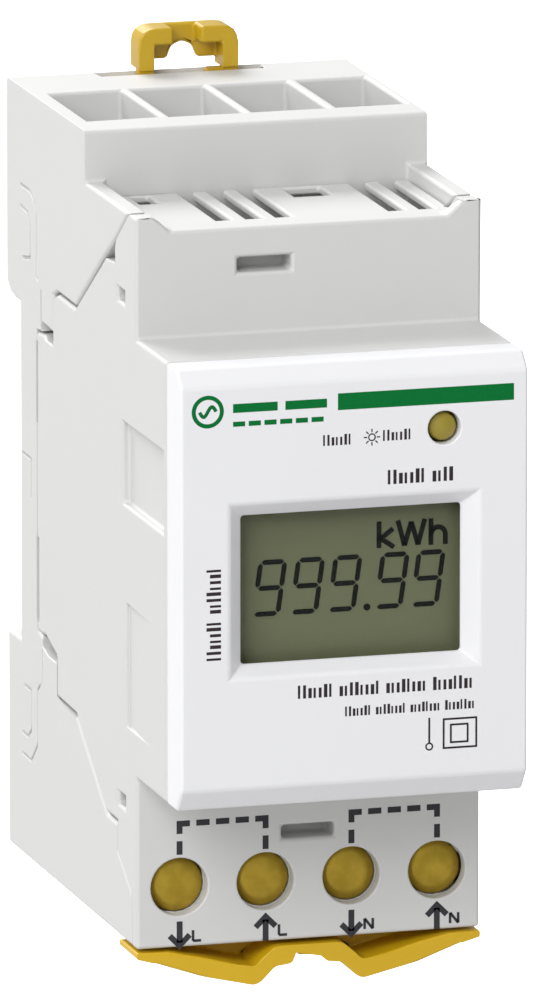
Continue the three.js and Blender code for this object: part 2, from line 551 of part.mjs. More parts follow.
function addMainBoard() {
  const board = block(MAIN_BOARD_X - BOARD_THICKNESS, MAIN_BOARD_X, 8, 48, -19.6, 19.6);
  const notch = block(MAIN_BOARD_X - 3, MAIN_BOARD_X + 1, 7, 12, -20, -15);
  addPart('main_board', cut(board, notch), 'board');
  const filmX = [ON_MAIN_BOARD, ON_MAIN_BOARD + 8.5];
  const film = alongX(rectangle(12, 30, 4, 18), ...filmX);
  addPart('film_capacitor', film, 'capacitor_yellow');
  const disc = rod(5, 4, UP, 0, 0, 0, 20);
  addPart('surge_varistor', disc, 'capacitor_blue', [ON_MAIN_BOARD + 5.4, -18, -2]);
  const can = (radius, length) => turned([
    [0, 0], [radius, 0], [radius, 1.2], [radius - 0.3, 1.6], [radius, 2], [radius, length - 0.3],
    [radius - 0.3, length], [0, length],
  ], RIGHT, 0, 0, 0, 20);
  addPart('storage_capacitor', can(4, 12), 'chip', [ON_MAIN_BOARD, -35, -14.4]);
  addPart('filter_capacitor', can(3.2, 11), 'chip', [ON_MAIN_BOARD, -26.5, -14.4]);
  const core = [[0, 0], [3.6, 0], [3.6, 1], [2.8, 1], [2.8, 7], [3.6, 7], [3.6, 8], [0, 8]];
  addPart('choke', turned(core, RIGHT, 0, 0, 0, 20), 'chip', [ON_MAIN_BOARD, -17.5, -12]);
  addPart('metering_chip', block(ON_MAIN_BOARD, ON_MAIN_BOARD + 2, 33, 41, -5, 5), 'chip');
  addPart('supply_chip', block(ON_MAIN_BOARD, ON_MAIN_BOARD + 1.6, 34, 39, 9, 15), 'chip');
  addPart('bridge_rectifier', block(ON_MAIN_BOARD, ON_MAIN_BOARD + 2.4, 25, 30.5, -6, -1), 'chip');
  const resistor = [[0, 0], [1.8, 0], [1.9, 0.8], [1.5, 1.6], [1.5, 7.4], [1.9, 8.2], [1.8, 9], [0, 9]];
  addPart('fusible_resistor', turned(resistor, UP, 0, 0, 0, 16), 'resistor', [ON_MAIN_BOARD + 2, -9.8, 0]);
  addPart('reference_crystal', block(ON_MAIN_BOARD, ON_MAIN_BOARD + 3.4, 39.6, 41.2, -17, -7), 'can');
}

// ---------------------------------------------------------------- terminals and current path

const BAR_U = [25.2, 26.7];
const BAR_TOP_Z = -22.5;
const BAR_FOOT_Z = -37;
const BAR_HALF_WIDTH = 2;
const PAD_U = 24.9; // rear face of the raised pad that the conductor is pressed on
const CARRIER_FLOOR_Z = FLOOR_Z + FLOOR_THICKNESS + GAP;

function addCurrentPath() {
  const bar = (x) => union(
    block(x - BAR_HALF_WIDTH, x + BAR_HALF_WIDTH, ...BAR_U, BAR_FOOT_Z, BAR_TOP_Z),
    block(x - 1.6, x + 1.6, PAD_U, BAR_U[0] + 0.2, BAR_FOOT_Z + 0.5, -31),
  );
  const [lineOut, lineIn, neutralOut, neutralIn] = TERMINAL_X;
  addPart('line_in_bar', bar(lineIn), 'copper');
  addPart('line_out_bar', bar(lineOut), 'copper');
  const shuntX = [lineOut + BAR_HALF_WIDTH + GAP, lineIn - BAR_HALF_WIDTH - GAP];
  addPart('current_shunt', block(...shuntX, ...BAR_U, -28.4, BAR_TOP_Z), 'shunt_alloy');
  const bridge = block(neutralOut, neutralIn, ...BAR_U, -27.6, BAR_TOP_Z);
  addPart('neutral_bar', union(bar(neutralOut), bar(neutralIn), bridge), 'copper');
}

// Insulating comb that keeps the clamps apart and stops the conductors.
function terminalCarrier() {
  const spanX = [-INNER_X + GAP, INNER_X - GAP];
  const back = block(...spanX, 15.6, 16.8, CARRIER_FLOOR_Z, -21.6);
  const ledge = block(...spanX, 16.6, 24.9, -30.4, -29.2);
  const dividers = [-TERMINAL_PITCH, 0, TERMINAL_PITCH].map((x) => {
    return block(x - 0.5, x + 0.5, 16.6, 38.4, CARRIER_FLOOR_Z, -29.2);
  });
  return union(back, ledge, ...dividers);
}

const CAGE = {
  halfWidth: 3.6,
  sideWall: 0.9,
  rear: [18.5, 20],
  front: [31.7, 33.5],
  z: [-37, -30.9],
};
const SCREW_RADIUS = 2;

// A square tube of steel, open above and below, with the screw's hole in its front wall.
function clampCage() {
  const { halfWidth, sideWall, rear, front, z } = CAGE;
  const outer = block(-halfWidth, halfWidth, rear[0], front[1], ...z);
  const inner = block(-halfWidth + sideWall, halfWidth - sideWall, rear[1], front[0], z[0] - 1, z[1] + 1);
  const hole = rod(SCREW_RADIUS + 0.35, 6, FORWARD, 0, front[0] - 2, SCREW_Z);
  return cut(outer, inner, hole);
}

// Domed head almost flush with the front wall, shank behind it. The tip stops just short of the bar.
function terminalScrew() {
  const profile = [
    [0, 27], [SCREW_RADIUS - 0.4, 27], [SCREW_RADIUS, 27.5], [SCREW_RADIUS, 38.6], [2.9, 38.6],
    [2.9, 42.5], [2.3, 42.9], [1.2, 43.1], [0, 43.15],
  ];
  return turned(profile, FORWARD, 0, 0, 0, 32);
}

function addTerminals() {
  addPart('terminal_carrier', terminalCarrier(), 'carrier');
  TERMINAL_X.forEach((x, index) => {
    addPart(`clamp_cage_${index + 1}`, clampCage(), 'steel', [x, 0, 0]);
    addPart(`terminal_screw_${index + 1}`, terminalScrew(), 'brass', [x, 0, SCREW_Z]);
  });
}

// Insulated lead along a smooth curve through (x, u, z) points.
function lead(points, radius) {
  const path = new THREE.CatmullRomCurve3(points.map(([x, u, z]) => new THREE.Vector3(x, -u, z)));
  const section = new THREE.Shape();
  section.absarc(0, 0, radius, 0, 2 * Math.PI);
  const geometry = new THREE.ExtrudeGeometry(section, { steps: 20, curveSegments: 4, extrudePath: path });
  return toSolid(geometry);
}

function addLeads() {
  const neutral = [[6, 24.4, -24], [5, 23, -21.5], [0, 22, -20.4], [-7, 22, -20.6], [-10.2, 22, -20.8]];
  addPart('neutral_lead', lead(neutral, 0.6), 'insulation');
  const sense = [[-9, 24.4, -25.5], [-9, 22.6, -24], [-9.4, 21.5, -22.2], [-10.2, 20, -20.8]];
  addPart('sense_lead', lead(sense, 0.6), 'insulation');
}

// ---------------------------------------------------------------- assembly

addPart('rear_housing', rearHousing(), 'housing');
addPart('front_housing', frontHousing(), 'housing');
addPart('front_cover', frontCover(), 'cover');
addPart('upper_clip', upperClip(), 'clip');
addPart('lower_clip', lowerClip(), 'clip');
addDisplay();
addPulseLamp();
addDisplayElectronics();
addMainBoard();
addCurrentPath();
addTerminals();
addLeads();

export default meter;
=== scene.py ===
"""Finished look of a rail-mounted electric energy meter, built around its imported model.

Lengths are in millimetres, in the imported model's own frame: +X right, +Y back, +Z up, with the
origin at the centre of the rail seat. MM turns them into metres where they enter the scene. The
lights and the camera are placed in metres.
"""

import logging
import math
from dataclasses import dataclass, field
from enum import Enum
from typing import Any, Iterable, Sequence

import bmesh
import bpy
import numpy as np
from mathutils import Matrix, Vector


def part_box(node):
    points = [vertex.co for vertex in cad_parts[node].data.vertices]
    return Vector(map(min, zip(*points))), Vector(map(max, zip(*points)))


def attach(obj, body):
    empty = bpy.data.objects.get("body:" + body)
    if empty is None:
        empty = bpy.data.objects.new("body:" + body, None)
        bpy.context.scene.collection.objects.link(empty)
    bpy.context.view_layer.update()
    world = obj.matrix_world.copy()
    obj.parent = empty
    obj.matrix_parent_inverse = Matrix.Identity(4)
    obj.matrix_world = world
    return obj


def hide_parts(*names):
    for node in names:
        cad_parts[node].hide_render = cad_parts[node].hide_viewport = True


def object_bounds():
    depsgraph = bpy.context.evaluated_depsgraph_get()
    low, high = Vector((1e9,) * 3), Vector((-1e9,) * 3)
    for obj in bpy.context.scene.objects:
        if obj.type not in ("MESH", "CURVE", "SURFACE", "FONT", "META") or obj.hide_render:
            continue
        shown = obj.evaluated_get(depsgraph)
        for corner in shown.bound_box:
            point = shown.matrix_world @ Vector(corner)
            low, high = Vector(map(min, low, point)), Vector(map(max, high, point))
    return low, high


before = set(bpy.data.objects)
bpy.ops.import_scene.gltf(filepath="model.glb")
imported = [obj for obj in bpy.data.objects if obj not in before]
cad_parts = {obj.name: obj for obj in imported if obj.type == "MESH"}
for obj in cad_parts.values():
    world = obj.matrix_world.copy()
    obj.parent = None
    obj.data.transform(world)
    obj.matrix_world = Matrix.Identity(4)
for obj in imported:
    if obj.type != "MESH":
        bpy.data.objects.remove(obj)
CAD_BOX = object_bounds()

LOG = logging.getLogger("meter")
MM = 0.001

Colour = tuple[float, float, float]
Array = np.ndarray
Point = tuple[float, float]
Surface = tuple[Array, list]
TURN = 2.0 * math.pi
QUARTER = 0.5 * math.pi
MITRE_LIMIT = 0.6


class Body(str, Enum):
    """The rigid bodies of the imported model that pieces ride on."""

    METER = "meter_body"
    UPPER_CLIP = "upper_rail_clip"
    LOWER_CLIP = "lower_rail_clip"


class Axis(Enum):
    """A direction that a turned piece is built along."""

    RIGHT = (1.0, 0.0, 0.0)
    FORWARD = (0.0, -1.0, 0.0)
    UP = (0.0, 0.0, 1.0)

    @property
    def direction(self) -> Array:
        """Returns the direction as an array."""
        return np.array(self.value)


# ------------------------------------------------------------------------------ shader maths


class Value:
    """A number in a material's node tree, used in ordinary Python arithmetic."""

    def __init__(self, graph: "Graph", socket: bpy.types.NodeSocket) -> None:
        """Wraps one output socket of a graph."""
        self.graph = graph
        self.socket = socket

    def _math(self, operation: str, first: Any, second: Any = 0.0) -> "Value":
        """Adds one Math node and returns its result."""
        return self.graph.add("ShaderNodeMath", {"operation": operation}, {0: first, 1: second})

    def __add__(self, other: Any) -> "Value":
        """Returns self + other."""
        return self._math("ADD", self, other)

    __radd__ = __add__

    def __mul__(self, other: Any) -> "Value":
        """Returns self * other."""
        return self._math("MULTIPLY", self, other)

    __rmul__ = __mul__

    def __sub__(self, other: Any) -> "Value":
        """Returns self - other."""
        return self._math("SUBTRACT", self, other)

    def __rsub__(self, other: Any) -> "Value":
        """Returns other - self."""
        return self._math("SUBTRACT", other, self)

    def above(self, level: float) -> "Value":
        """Returns 1 where the value is over a level, and 0 elsewhere."""
        return self._math("GREATER_THAN", self, level)

    def wave(self) -> "Value":
        """Returns the sine of the value."""
        return self._math("SINE", self)

    def ramp(self, low: float, high: float, start: float = 0.0, end: float = 1.0) -> "Value":
        """Returns a smooth step from start, where the value is low, to end, where it is high."""
        settings = {"interpolation_type": "SMOOTHSTEP"}
        return self.graph.add("ShaderNodeMapRange", settings, {0: self, 1: low, 2: high, 3: start, 4: end})


class Graph:
    """The node tree of a material or a world, with one shader."""

    def __init__(
        self, owner: bpy.types.ID, shader: str = "ShaderNodeBsdfPrincipled",
        output: str = "ShaderNodeOutputMaterial",
    ) -> None:
        """Empties the tree but for its shader and output.

        Args:
            owner: the material or world.
            shader: the type name of its shader.
            output: the type name of its output.
        """
        owner.use_nodes = True
        self.tree = owner.node_tree
        self.tree.nodes.clear()
        self.shader = self.tree.nodes.new(shader)
        self.tree.links.new(self.shader.outputs[0], self.tree.nodes.new(output).inputs[0])

    def add(self, kind: str, settings: dict[str, Any], inputs: dict[Any, Any], output: Any = 0) -> Value:
        """Adds a node of any type.

        Args:
            kind: the node's type name.
            settings: the node's own properties, set before its sockets.
            inputs: values or links, by the socket's name or number.
            output: the name or number of the output that is returned.

        Returns:
            The chosen output as a Value.
        """
        node = self.tree.nodes.new(kind)
        for key, value in settings.items():
            setattr(node, key, value)
        for key, value in inputs.items():
            self.feed(node.inputs[key], value)
        return Value(self, node.outputs[output])

    def feed(self, socket: bpy.types.NodeSocket, value: Any) -> None:
        """Links a Value to a socket, or sets the socket's constant.

        Args:
            socket: the input.
            value: a Value, a number, or a vector; a colour may leave out its opacity.
        """
        if isinstance(value, Value):
            self.tree.links.new(value.socket, socket)
        elif isinstance(value, tuple) and len(value) < len(socket.default_value):
            socket.default_value = (*value, 1.0)
        else:
            socket.default_value = value

    def set(self, **values: Any) -> None:
        """Feeds the shader's sockets, named with underscores for spaces, as in Base_Color."""
        for key, value in values.items():
            self.feed(self.shader.inputs[key.replace("_", " ")], value)

    def place(self, scale: Sequence[float] = (1, 1, 1), shift: Sequence[float] = (0, 0, 0)) -> Value:
        """Returns the object's own coordinates, with one unit to a millimetre.

        Args:
            scale: how much finer than that the pattern is along each axis.
            shift: what is added afterwards.

        Returns:
            The coordinates.
        """
        coordinates = self.add("ShaderNodeTexCoord", {}, {}, "Object")
        sizes = tuple(value / MM for value in scale)
        return self.add("ShaderNodeMapping", {}, {"Vector": coordinates, "Scale": sizes, "Location": shift})

    def noise(self, where: Value, size: float, detail: float = 2.0, roughness: float = 0.5) -> Value:
        """Returns smooth noise from 0 to 1 with lumps of the given size in millimetres."""
        inputs = {"Vector": where, "Scale": 1.0 / size, "Detail": detail, "Roughness": roughness}
        return self.add("ShaderNodeTexNoise", {}, inputs, "Fac")

    def grains(self, where: Value, size: float) -> Value:
        """Returns the distance to the nearest of scattered points, spaced by size in millimetres."""
        return self.add("ShaderNodeTexVoronoi", {}, {"Vector": where, "Scale": 1.0 / size}, "Distance")

    def blend(self, share: Any, first: Any, second: Any) -> Value:
        """Mixes two colours: first where share is 0, second where it is 1."""
        settings = {"data_type": "RGBA", "clamp_factor": True}
        return self.add("ShaderNodeMix", settings, {0: share, 6: first, 7: second}, 2)

    def split(self, where: Value) -> tuple[Value, Value, Value]:
        """Returns the three parts of a vector."""
        node = self.add("ShaderNodeSeparateXYZ", {}, {0: where}).socket.node
        return tuple(Value(self, socket) for socket in node.outputs)

    def relief(self, height: Value, depth: float, strength: float = 1.0) -> None:
        """Bumps the surface by a height from 0 to 1 that stands for a depth in millimetres."""
        inputs = {"Height": height, "Distance": depth * MM, "Strength": strength}
        self.set(Normal=self.add("ShaderNodeBump", {}, inputs, "Normal"))


def shade(colour: Colour, factor: float) -> Colour:
    """Returns a colour made lighter or darker by a factor."""
    return tuple(min(max(part * factor, 0.0), 1.0) for part in colour)


def srgb(red: int, green: int, blue: int) -> Colour:
    """Turns a display colour into a linear one.

    Args:
        red: the red part, from 0 to 255.
        green: the green part.
        blue: the blue part.

    Returns:
        The linear parts, from 0 to 1.
    """
    parts = np.array([red, green, blue]) / 255.0
    linear = np.where(parts <= 0.04045, parts / 12.92, ((parts + 0.055) / 1.055) ** 2.4)
    return tuple(float(part) for part in linear)


# ------------------------------------------------------------------------------ finishes


MADE: dict["Finish", bpy.types.Material] = {}


@dataclass(frozen=True)
class Finish:
    """A surface finish, and the record's material slot that it belongs to."""

    name: str
    slot: str
    colour: Colour
    roughness: float = 0.4

    def material(self) -> bpy.types.Material:
        """Makes the material on first use, and remembers it.

        Returns:
            The material.
        """
        if self not in MADE:
            MADE[self] = bpy.data.materials.new(f"{self.name}_finish")
            self.dress(Graph(MADE[self]))
        return MADE[self]

    def tones(self, graph: Graph, share: Any, low: float, high: float) -> Value:
        """Returns the colour times low where a share is 0, and times high where it is 1."""
        return graph.blend(share, shade(self.colour, low), shade(self.colour, high))

    def gloss(self, spread: float, pattern: Value) -> Value:
        """Returns the roughness, varied to both sides by a pattern from 0 to 1 times a spread."""
        return self.roughness + spread * (pattern - 0.5)

    def dress(self, graph: Graph) -> None:
        """Fills the node tree: an even colour at the finish's roughness.

        Args:
            graph: the material's node tree.
        """
        graph.set(Base_Color=self.colour, Roughness=self.roughness)


@dataclass(frozen=True)
class MouldedPlastic(Finish):
    """Injection-moulded plastic: spark-eroded grain, faint flow clouds and a few dust specks."""

    grain: float = 0.16
    depth: float = 0.004
    clouds: float = 0.02
    coat: float = 0.0
    glow: float = 0.0

    def dress(self, graph: Graph) -> None:
        """Fills the node tree.

        Args:
            graph: the material's node tree.
        """
        where = graph.place()
        flow = graph.noise(where, 11.0, 3.0)
        fine = graph.noise(where, self.grain, 2.0, 0.6)
        speck = graph.grains(where, 1.9).ramp(0.02, 0.05)
        tone = self.tones(graph, flow, 1 - self.clouds, 1 + self.clouds)
        tint = self.tones(graph, fine, 0.985, 1.015)
        mixed = graph.blend(0.4, tone, tint)
        graph.set(
            Base_Color=graph.blend((1.0 - speck) * 0.1, mixed, shade(self.colour, 0.7)),
            Roughness=self.gloss(0.10, flow) + 0.06 * (fine - 0.5),
            IOR=1.5,
            Coat_Weight=self.coat,
            Coat_Roughness=0.12,
            Subsurface_Weight=self.glow,
            Subsurface_Scale=0.4 * MM,
        )
        graph.relief(fine + 0.3 * graph.grains(where, self.grain * 2.2), self.depth)


@dataclass(frozen=True)
class Ink(Finish):
    """Pad-printed ink: nearly even, with a slightly mottled edge and gloss."""

    def dress(self, graph: Graph) -> None:
        """Fills the node tree.

        Args:
            graph: the material's node tree.
        """
        mottle = graph.noise(graph.place(), 0.18, 3.0, 0.65)
        graph.set(
            Base_Color=self.tones(graph, mottle, 0.85, 1.2),
            Roughness=self.gloss(0.2, mottle),
            Specular_IOR_Level=0.1,
        )
        graph.relief(mottle, 0.003)


@dataclass(frozen=True)
class PlatedMetal(Finish):
    """Plated metal with faint machining lines round one axis and cloudy passivation."""

    tint: Colour = (0.5, 0.5, 0.5)
    lines: float = 0.12

    def dress(self, graph: Graph) -> None:
        """Fills the node tree.

        Args:
            graph: the material's node tree.
        """
        where = graph.place()
        clouds = graph.noise(where, 1.6, 3.0)
        scratches = graph.noise(graph.place((6, 1, 1)), self.lines, 2.0)
        graph.set(
            Base_Color=graph.blend(clouds.ramp(0.3, 0.7), self.colour, self.tint),
            Metallic=0.7,
            Roughness=self.gloss(0.08, clouds) + 0.06 * (scratches - 0.5),
        )
        graph.relief(scratches, 0.0012)


@dataclass(frozen=True)
class ClearPlastic(Finish):
    """Clear moulded plastic, with a hard gloss and a touch of its own tint."""

    opacity: float = 0.1
    reflection: float = 0.12

    def dress(self, graph: Graph) -> None:
        """Fills the node tree.

        Args:
            graph: the material's node tree.
        """
        haze = graph.noise(graph.place(), 4.0, 2.0)
        graph.set(
            Base_Color=self.tones(graph, haze, 0.96, 1.0),
            Roughness=0.04 + 0.03 * haze,
            Alpha=self.opacity,
            Specular_IOR_Level=self.reflection,
        )


@dataclass(frozen=True)
class DisplayGlass(Finish):
    """Reflective liquid crystal panel: fine brushed reflector behind an olive polariser."""

    def dress(self, graph: Graph) -> None:
        """Fills the node tree. The tone rises a little towards the lower edge: painted shade that darkens
        the panel towards its top.

        Args:
            graph: the material's node tree.
        """
        where = graph.place()
        _, _, height = graph.split(where)
        sheen = graph.noise(graph.place((1, 1, 9)), 2.4, 2.0)
        grain = graph.noise(where, 0.09, 1.0)
        # painted shade: the panel's tone is lowest at its top edge and highest at its foot
        rise = (height * -1.0).ramp(-8.0, 8.0)
        tone = self.tones(graph, rise, 0.88, 1.1)
        tint = self.tones(graph, sheen, 0.92, 1.08)
        mixed = graph.blend(0.5, tone, tint)
        graph.set(
            Base_Color=graph.blend(grain * 0.25, mixed, shade(self.colour, 1.3)),
            Roughness=self.gloss(0.1, sheen),
            Specular_IOR_Level=0.25,
        )


@dataclass(frozen=True)
class CircuitBoard(Finish):
    """Glass-fibre board: solder mask over a weave, with tracks and plated holes on a grid."""

    across: int = 0
    pitch: float = 1.27

    def dress(self, graph: Graph) -> None:
        """Fills the node tree. Tracks are bands of noise, and holes sit on a square grid.

        Args:
            graph: the material's node tree.
        """
        where = graph.place()
        parts = graph.split(where)
        first, second = parts[self.across], parts[2]
        weave = ((first * 12.0).wave() * (second * 12.0).wave()).ramp(-1.0, 1.0)
        lanes = graph.noise(graph.place((0.2, 0.2, 1.4)), 2.2, 0.0)
        tracks = ((lanes * 60.0).wave()).ramp(0.35, 0.55)
        step = TURN / self.pitch
        holes = ((first * step).wave() * (second * step).wave()).ramp(0.86, 0.93)
        sparse = graph.noise(where, 5.0, 0.0).ramp(0.5, 0.56)
        mask = self.tones(graph, tracks, 1.0, 1.9)
        pads = holes * sparse
        graph.set(
            Base_Color=graph.blend(pads, mask, srgb(205, 196, 170)),
            Roughness=self.roughness + 0.06 * weave,
            Metallic=pads * 0.8,
        )
        graph.relief(tracks * 0.6 + weave * 0.2, 0.02)


@dataclass(frozen=True)
class BareMetal(Finish):
    """Rolled strip metal: long drawing marks and slight tarnish."""

    tarnish: Colour = (0.3, 0.2, 0.1)

    def dress(self, graph: Graph) -> None:
        """Fills the node tree.

        Args:
            graph: the material's node tree.
        """
        marks = graph.noise(graph.place((9, 9, 1)), 1.5, 3.0)
        stain = graph.noise(graph.place(), 3.5, 3.0).ramp(0.5, 0.8)
        graph.set(
            Base_Color=graph.blend(stain * 0.6, self.colour, self.tarnish),
            Metallic=1.0,
            Roughness=self.gloss(0.12, marks) + 0.15 * stain,
        )
        graph.relief(marks, 0.004)


@dataclass(frozen=True)
class Layered(Finish):
    """Conductive rubber: thin dark layers between pale ones along the strip."""

    def dress(self, graph: Graph) -> None:
        """Fills the node tree.

        Args:
            graph: the material's node tree.
        """
        along, _, _ = graph.split(graph.place())
        layers = (along * (TURN / 0.18)).wave().ramp(-0.3, 0.3)
        graph.set(
            Base_Color=self.tones(graph, layers, 1.0, 6.0),
            Roughness=self.roughness + 0.1 * layers,
        )
        graph.relief(layers, 0.01)


HOUSING = MouldedPlastic("housing_plastic", "housing_plastic", srgb(208, 208, 207), 0.46)
COVER = MouldedPlastic("cover_plastic", "cover_plastic", srgb(233, 233, 236), 0.42, 0.12, 0.003)
# painted light: the two clips are one yellow plastic, and the winged clip's copy is painted lighter for the
# extra light that it gets out in front
PULL_CLIP = MouldedPlastic("pull_clip_plastic", "clip_plastic", srgb(192, 157, 24), 0.36, 0.16, 0.003, 0.04)
WING_CLIP_PAINTED_LIGHT = MouldedPlastic("wing_clip_plastic_painted_light", "clip_plastic", srgb(212, 172, 18), 0.38, 0.16, 0.003, 0.04)
CLEAR = ClearPlastic("clear_window", "clear_window", (0.4, 0.44, 0.42), opacity=0.01)
PANEL = DisplayGlass("display_glass", "lcd_glass", srgb(101, 105, 78), 0.35)
SEGMENT = Ink("display_segment", "lcd_glass", (0.003, 0.004, 0.003), 0.4)
AMBER = MouldedPlastic("amber_lens", "amber_lens", srgb(148, 132, 30), 0.3, clouds=0.06, coat=0.4)
GREEN_INK = Ink("green_ink", "cover_plastic", srgb(2, 108, 48), 0.5)
BLACK_INK = Ink("black_ink", "cover_plastic", srgb(52, 44, 46), 0.5)
MARK_INK = Ink("mark_ink", "housing_plastic", srgb(58, 58, 62), 0.5)
SCREW = PlatedMetal("screw_plating", "screw_brass", srgb(184, 155, 52), 0.3, tint=srgb(168, 140, 40))


# ------------------------------------------------------------------------------ meshes


def link(thing: bpy.types.Object) -> None:
    """Puts an object into the scene."""
    bpy.context.scene.collection.objects.link(thing)


def adopt(piece: bpy.types.Object, finish: Finish, body: str) -> bpy.types.Object:
    """Puts a piece into the scene with its finish, on its body, and reports it.

    Args:
        piece: the object.
        finish: the surface finish.
        body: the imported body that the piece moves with.

    Returns:
        The same object.
    """
    link(piece)
    piece.data.materials.clear()
    piece.data.materials.append(finish.material())
    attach(piece, body)
    LOG.info("piece %s on %s: %d faces", piece.name, body, len(piece.data.polygons))
    return piece


def make_piece(
    name: str, surface: Surface, finish: Finish, node: str = "", body: str = Body.METER, smooth: bool = True
) -> None:
    """Makes a piece that rides on a body.

    Args:
        name: the piece's name.
        surface: corner positions in millimetres, and the corner numbers of each outward face.
        finish: the surface finish.
        node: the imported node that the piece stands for, if there is one.
        body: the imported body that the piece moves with.
        smooth: whether the faces are shaded smooth.
    """
    points, faces = surface
    mesh = bpy.data.meshes.new(name)
    mesh.from_pydata((points * MM).tolist(), [], faces)
    mesh.polygons.foreach_set("use_smooth", [smooth] * len(mesh.polygons))
    mesh.update()
    piece = adopt(bpy.data.objects.new(name, mesh), finish, body)
    if node:
        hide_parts(node)


def corners_of(node: str) -> tuple[Array, Array]:
    """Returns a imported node's lowest and highest corner in millimetres."""
    low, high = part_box(node)
    return np.array(low) / MM, np.array(high) / MM


def foot_of(node: str, axis: Axis) -> Array:
    """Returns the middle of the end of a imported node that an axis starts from, in millimetres."""
    low, high = corners_of(node)
    return (low + high - axis.direction * (high - low)) / 2


def around(count: int) -> Array:
    """Returns angles spaced evenly round a full turn."""
    return np.linspace(0.0, TURN, count, endpoint=False)


def closed_faces(rings: int, sides: int) -> list[list[int]]:
    """Returns the faces of a row of rings: quads between rings, and a fan to a point at either end.

    Point a of ring i has the number i * sides + a. The two end points follow the last ring.

    Args:
        rings: the number of rings.
        sides: the number of points in a ring.

    Returns:
        The corner numbers of each face.
    """
    ring, point = np.arange(rings - 1)[:, None] * sides, np.arange(sides)
    following = (point + 1) % sides
    above = ring + sides
    quads = np.stack([ring + point, ring + following, above + following, above + point], axis=-1)
    tip, base = np.full(sides, rings * sides), (rings - 1) * sides
    fans = np.array([[tip, following, point], [tip + 1, base + point, base + following]]).transpose(0, 2, 1)
    return quads.reshape(-1, 4).tolist() + fans.reshape(-1, 3).tolist()


def revolved(heights: Array, radius: Array, foot: Array, axis: Axis, ends: Point | None = None) -> Surface:
    """Works out a round solid whose radius may change with both height and angle.

    Point (i, a) lies at foot + height i * axis + radius (i, a) * (cos a * side + sin a * across).

    Args:
        heights: distances along the axis, one for each ring.
        radius: rings by angles.
        foot: the point that heights are counted from.
        axis: the axis' direction.
        ends: heights of the two closing points on the axis, or None for those of the end rings.

    Returns:
        Points and faces.
    """
    along = axis.direction
    side = (Axis.RIGHT if axis is Axis.UP else Axis.UP).direction
    across = np.cross(along, side)
    angle = around(radius.shape[1])[:, None]
    rim = np.cos(angle) * side + np.sin(angle) * across
    rings = foot + heights[:, None, None] * along + radius[..., None] * rim
    tips = foot + np.array(ends or (heights[0], heights[-1]))[:, None] * along
    return np.vstack([rings.reshape(-1, 3), tips]), closed_faces(*radius.shape)


def turned(profile: Sequence[Point], foot: Array, axis: Axis, sides: int = 48) -> Surface:
    """Works out a turned solid from (radius, height) pairs, from the axis back to the axis.

    Args:
        profile: the outline's points.
        foot: the point that heights are counted from.
        axis: the axis' direction.
        sides: points around.

    Returns:
        Points and faces.
    """
    values = np.array(profile, float)
    radius = np.repeat(values[1:-1, :1], sides, axis=1)
    return revolved(values[1:-1, 1], radius, foot, axis, (values[0, 1], values[-1, 1]))


def helix(heights: Array, pitch: float, sides: int) -> Array:
    """Returns the share of a turn, by height and angle: height over pitch less angle over a turn."""
    return (heights[:, None] / pitch - around(sides) / TURN) % 1.0


def prisms(
    items: Iterable[tuple[Sequence[Point], float, float]], first: Array, second: Array,
    origin: Sequence[float],
) -> Surface:
    """Carries flat outlines along the direction square to them, each into a closed prism.

    A point (a, b) at level c lies at origin + a * first + b * second + c * (first x second).

    Args:
        items: outlines with their lowest and highest level.
        first: the direction of an outline's first coordinate.
        second: the direction of its second.
        origin: where the coordinates start.

    Returns:
        Points and faces.
    """
    third = np.cross(first, second)
    solids = []
    for outline, low, high in items:
        shape = np.array(outline, float)
        x, z = shape.T
        shape = shape if np.sum(x * np.roll(z, -1) - np.roll(x, -1) * z) > 0 else shape[::-1]
        count = len(shape)
        flat = origin + shape[:, :1] * first + shape[:, 1:] * second
        front = np.arange(count)
        following = (front + 1) % count
        walls = np.stack([following, front, front + count, following + count], axis=1).tolist()
        faces = [front.tolist(), (front + count)[::-1].tolist(), *walls]
        solids.append((np.vstack([flat + level * third for level in (high, low)]), faces))
    return merged(solids)


def merged(parts: Iterable[Surface]) -> Surface:
    """Joins several surfaces into one.

    Args:
        parts: points and faces of each.

    Returns:
        All points, and the faces with their corners renumbered.
    """
    points: list[Array] = []
    faces: list[list[int]] = []
    start = 0
    for some_points, some_faces in parts:
        points.append(some_points)
        faces += [[start + corner for corner in face] for face in some_faces]
        start += len(some_points)
    return np.vstack(points), faces


def stroke(points: Sequence[Point], width: float, closed: bool = False) -> list[Array]:
    """Returns the quads of a pen stroke of even width, mitred at its corners.

    Each corner is moved to both sides by half the width along the bisector of its two legs,
    divided by the cosine of half the turn.

    Args:
        points: the stroke's line.
        width: its width.
        closed: whether the last point joins the first.

    Returns:
        One array of four points for each leg.
    """
    line = np.array(points, float)
    before = np.roll(line, 1, axis=0)
    after = np.roll(line, -1, axis=0)
    if not closed:
        before[0] = 2 * line[0] - line[1]
        after[-1] = 2 * line[-1] - line[-2]
    into = (line - before) / np.linalg.norm(line - before, axis=1, keepdims=True)
    out = (after - line) / np.linalg.norm(after - line, axis=1, keepdims=True)
    middle = into + out
    middle /= np.linalg.norm(middle, axis=1, keepdims=True)
    spread = width / 2 / np.maximum((middle * into).sum(axis=1, keepdims=True), MITRE_LIMIT)
    offset = np.stack([-middle[:, 1], middle[:, 0]], axis=1) * spread
    quads = np.stack([line + offset, np.roll(line + offset, -1, axis=0),
                      np.roll(line - offset, -1, axis=0), line - offset], axis=1)
    return list(quads if closed else quads[:-1])


def separate_legs(points: Sequence[Point], width: float) -> list[Array]:
    """Returns the quads of a pen stroke whose legs end square, for lines with very sharp corners."""
    return [leg for pair in zip(points, points[1:]) for leg in stroke(pair, width)]


def rectangle(x0: float, x1: float, z0: float, z1: float) -> Array:
    """Returns a rectangle's four corners."""
    return np.array([(x0, z0), (x1, z0), (x1, z1), (x0, z1)], float)


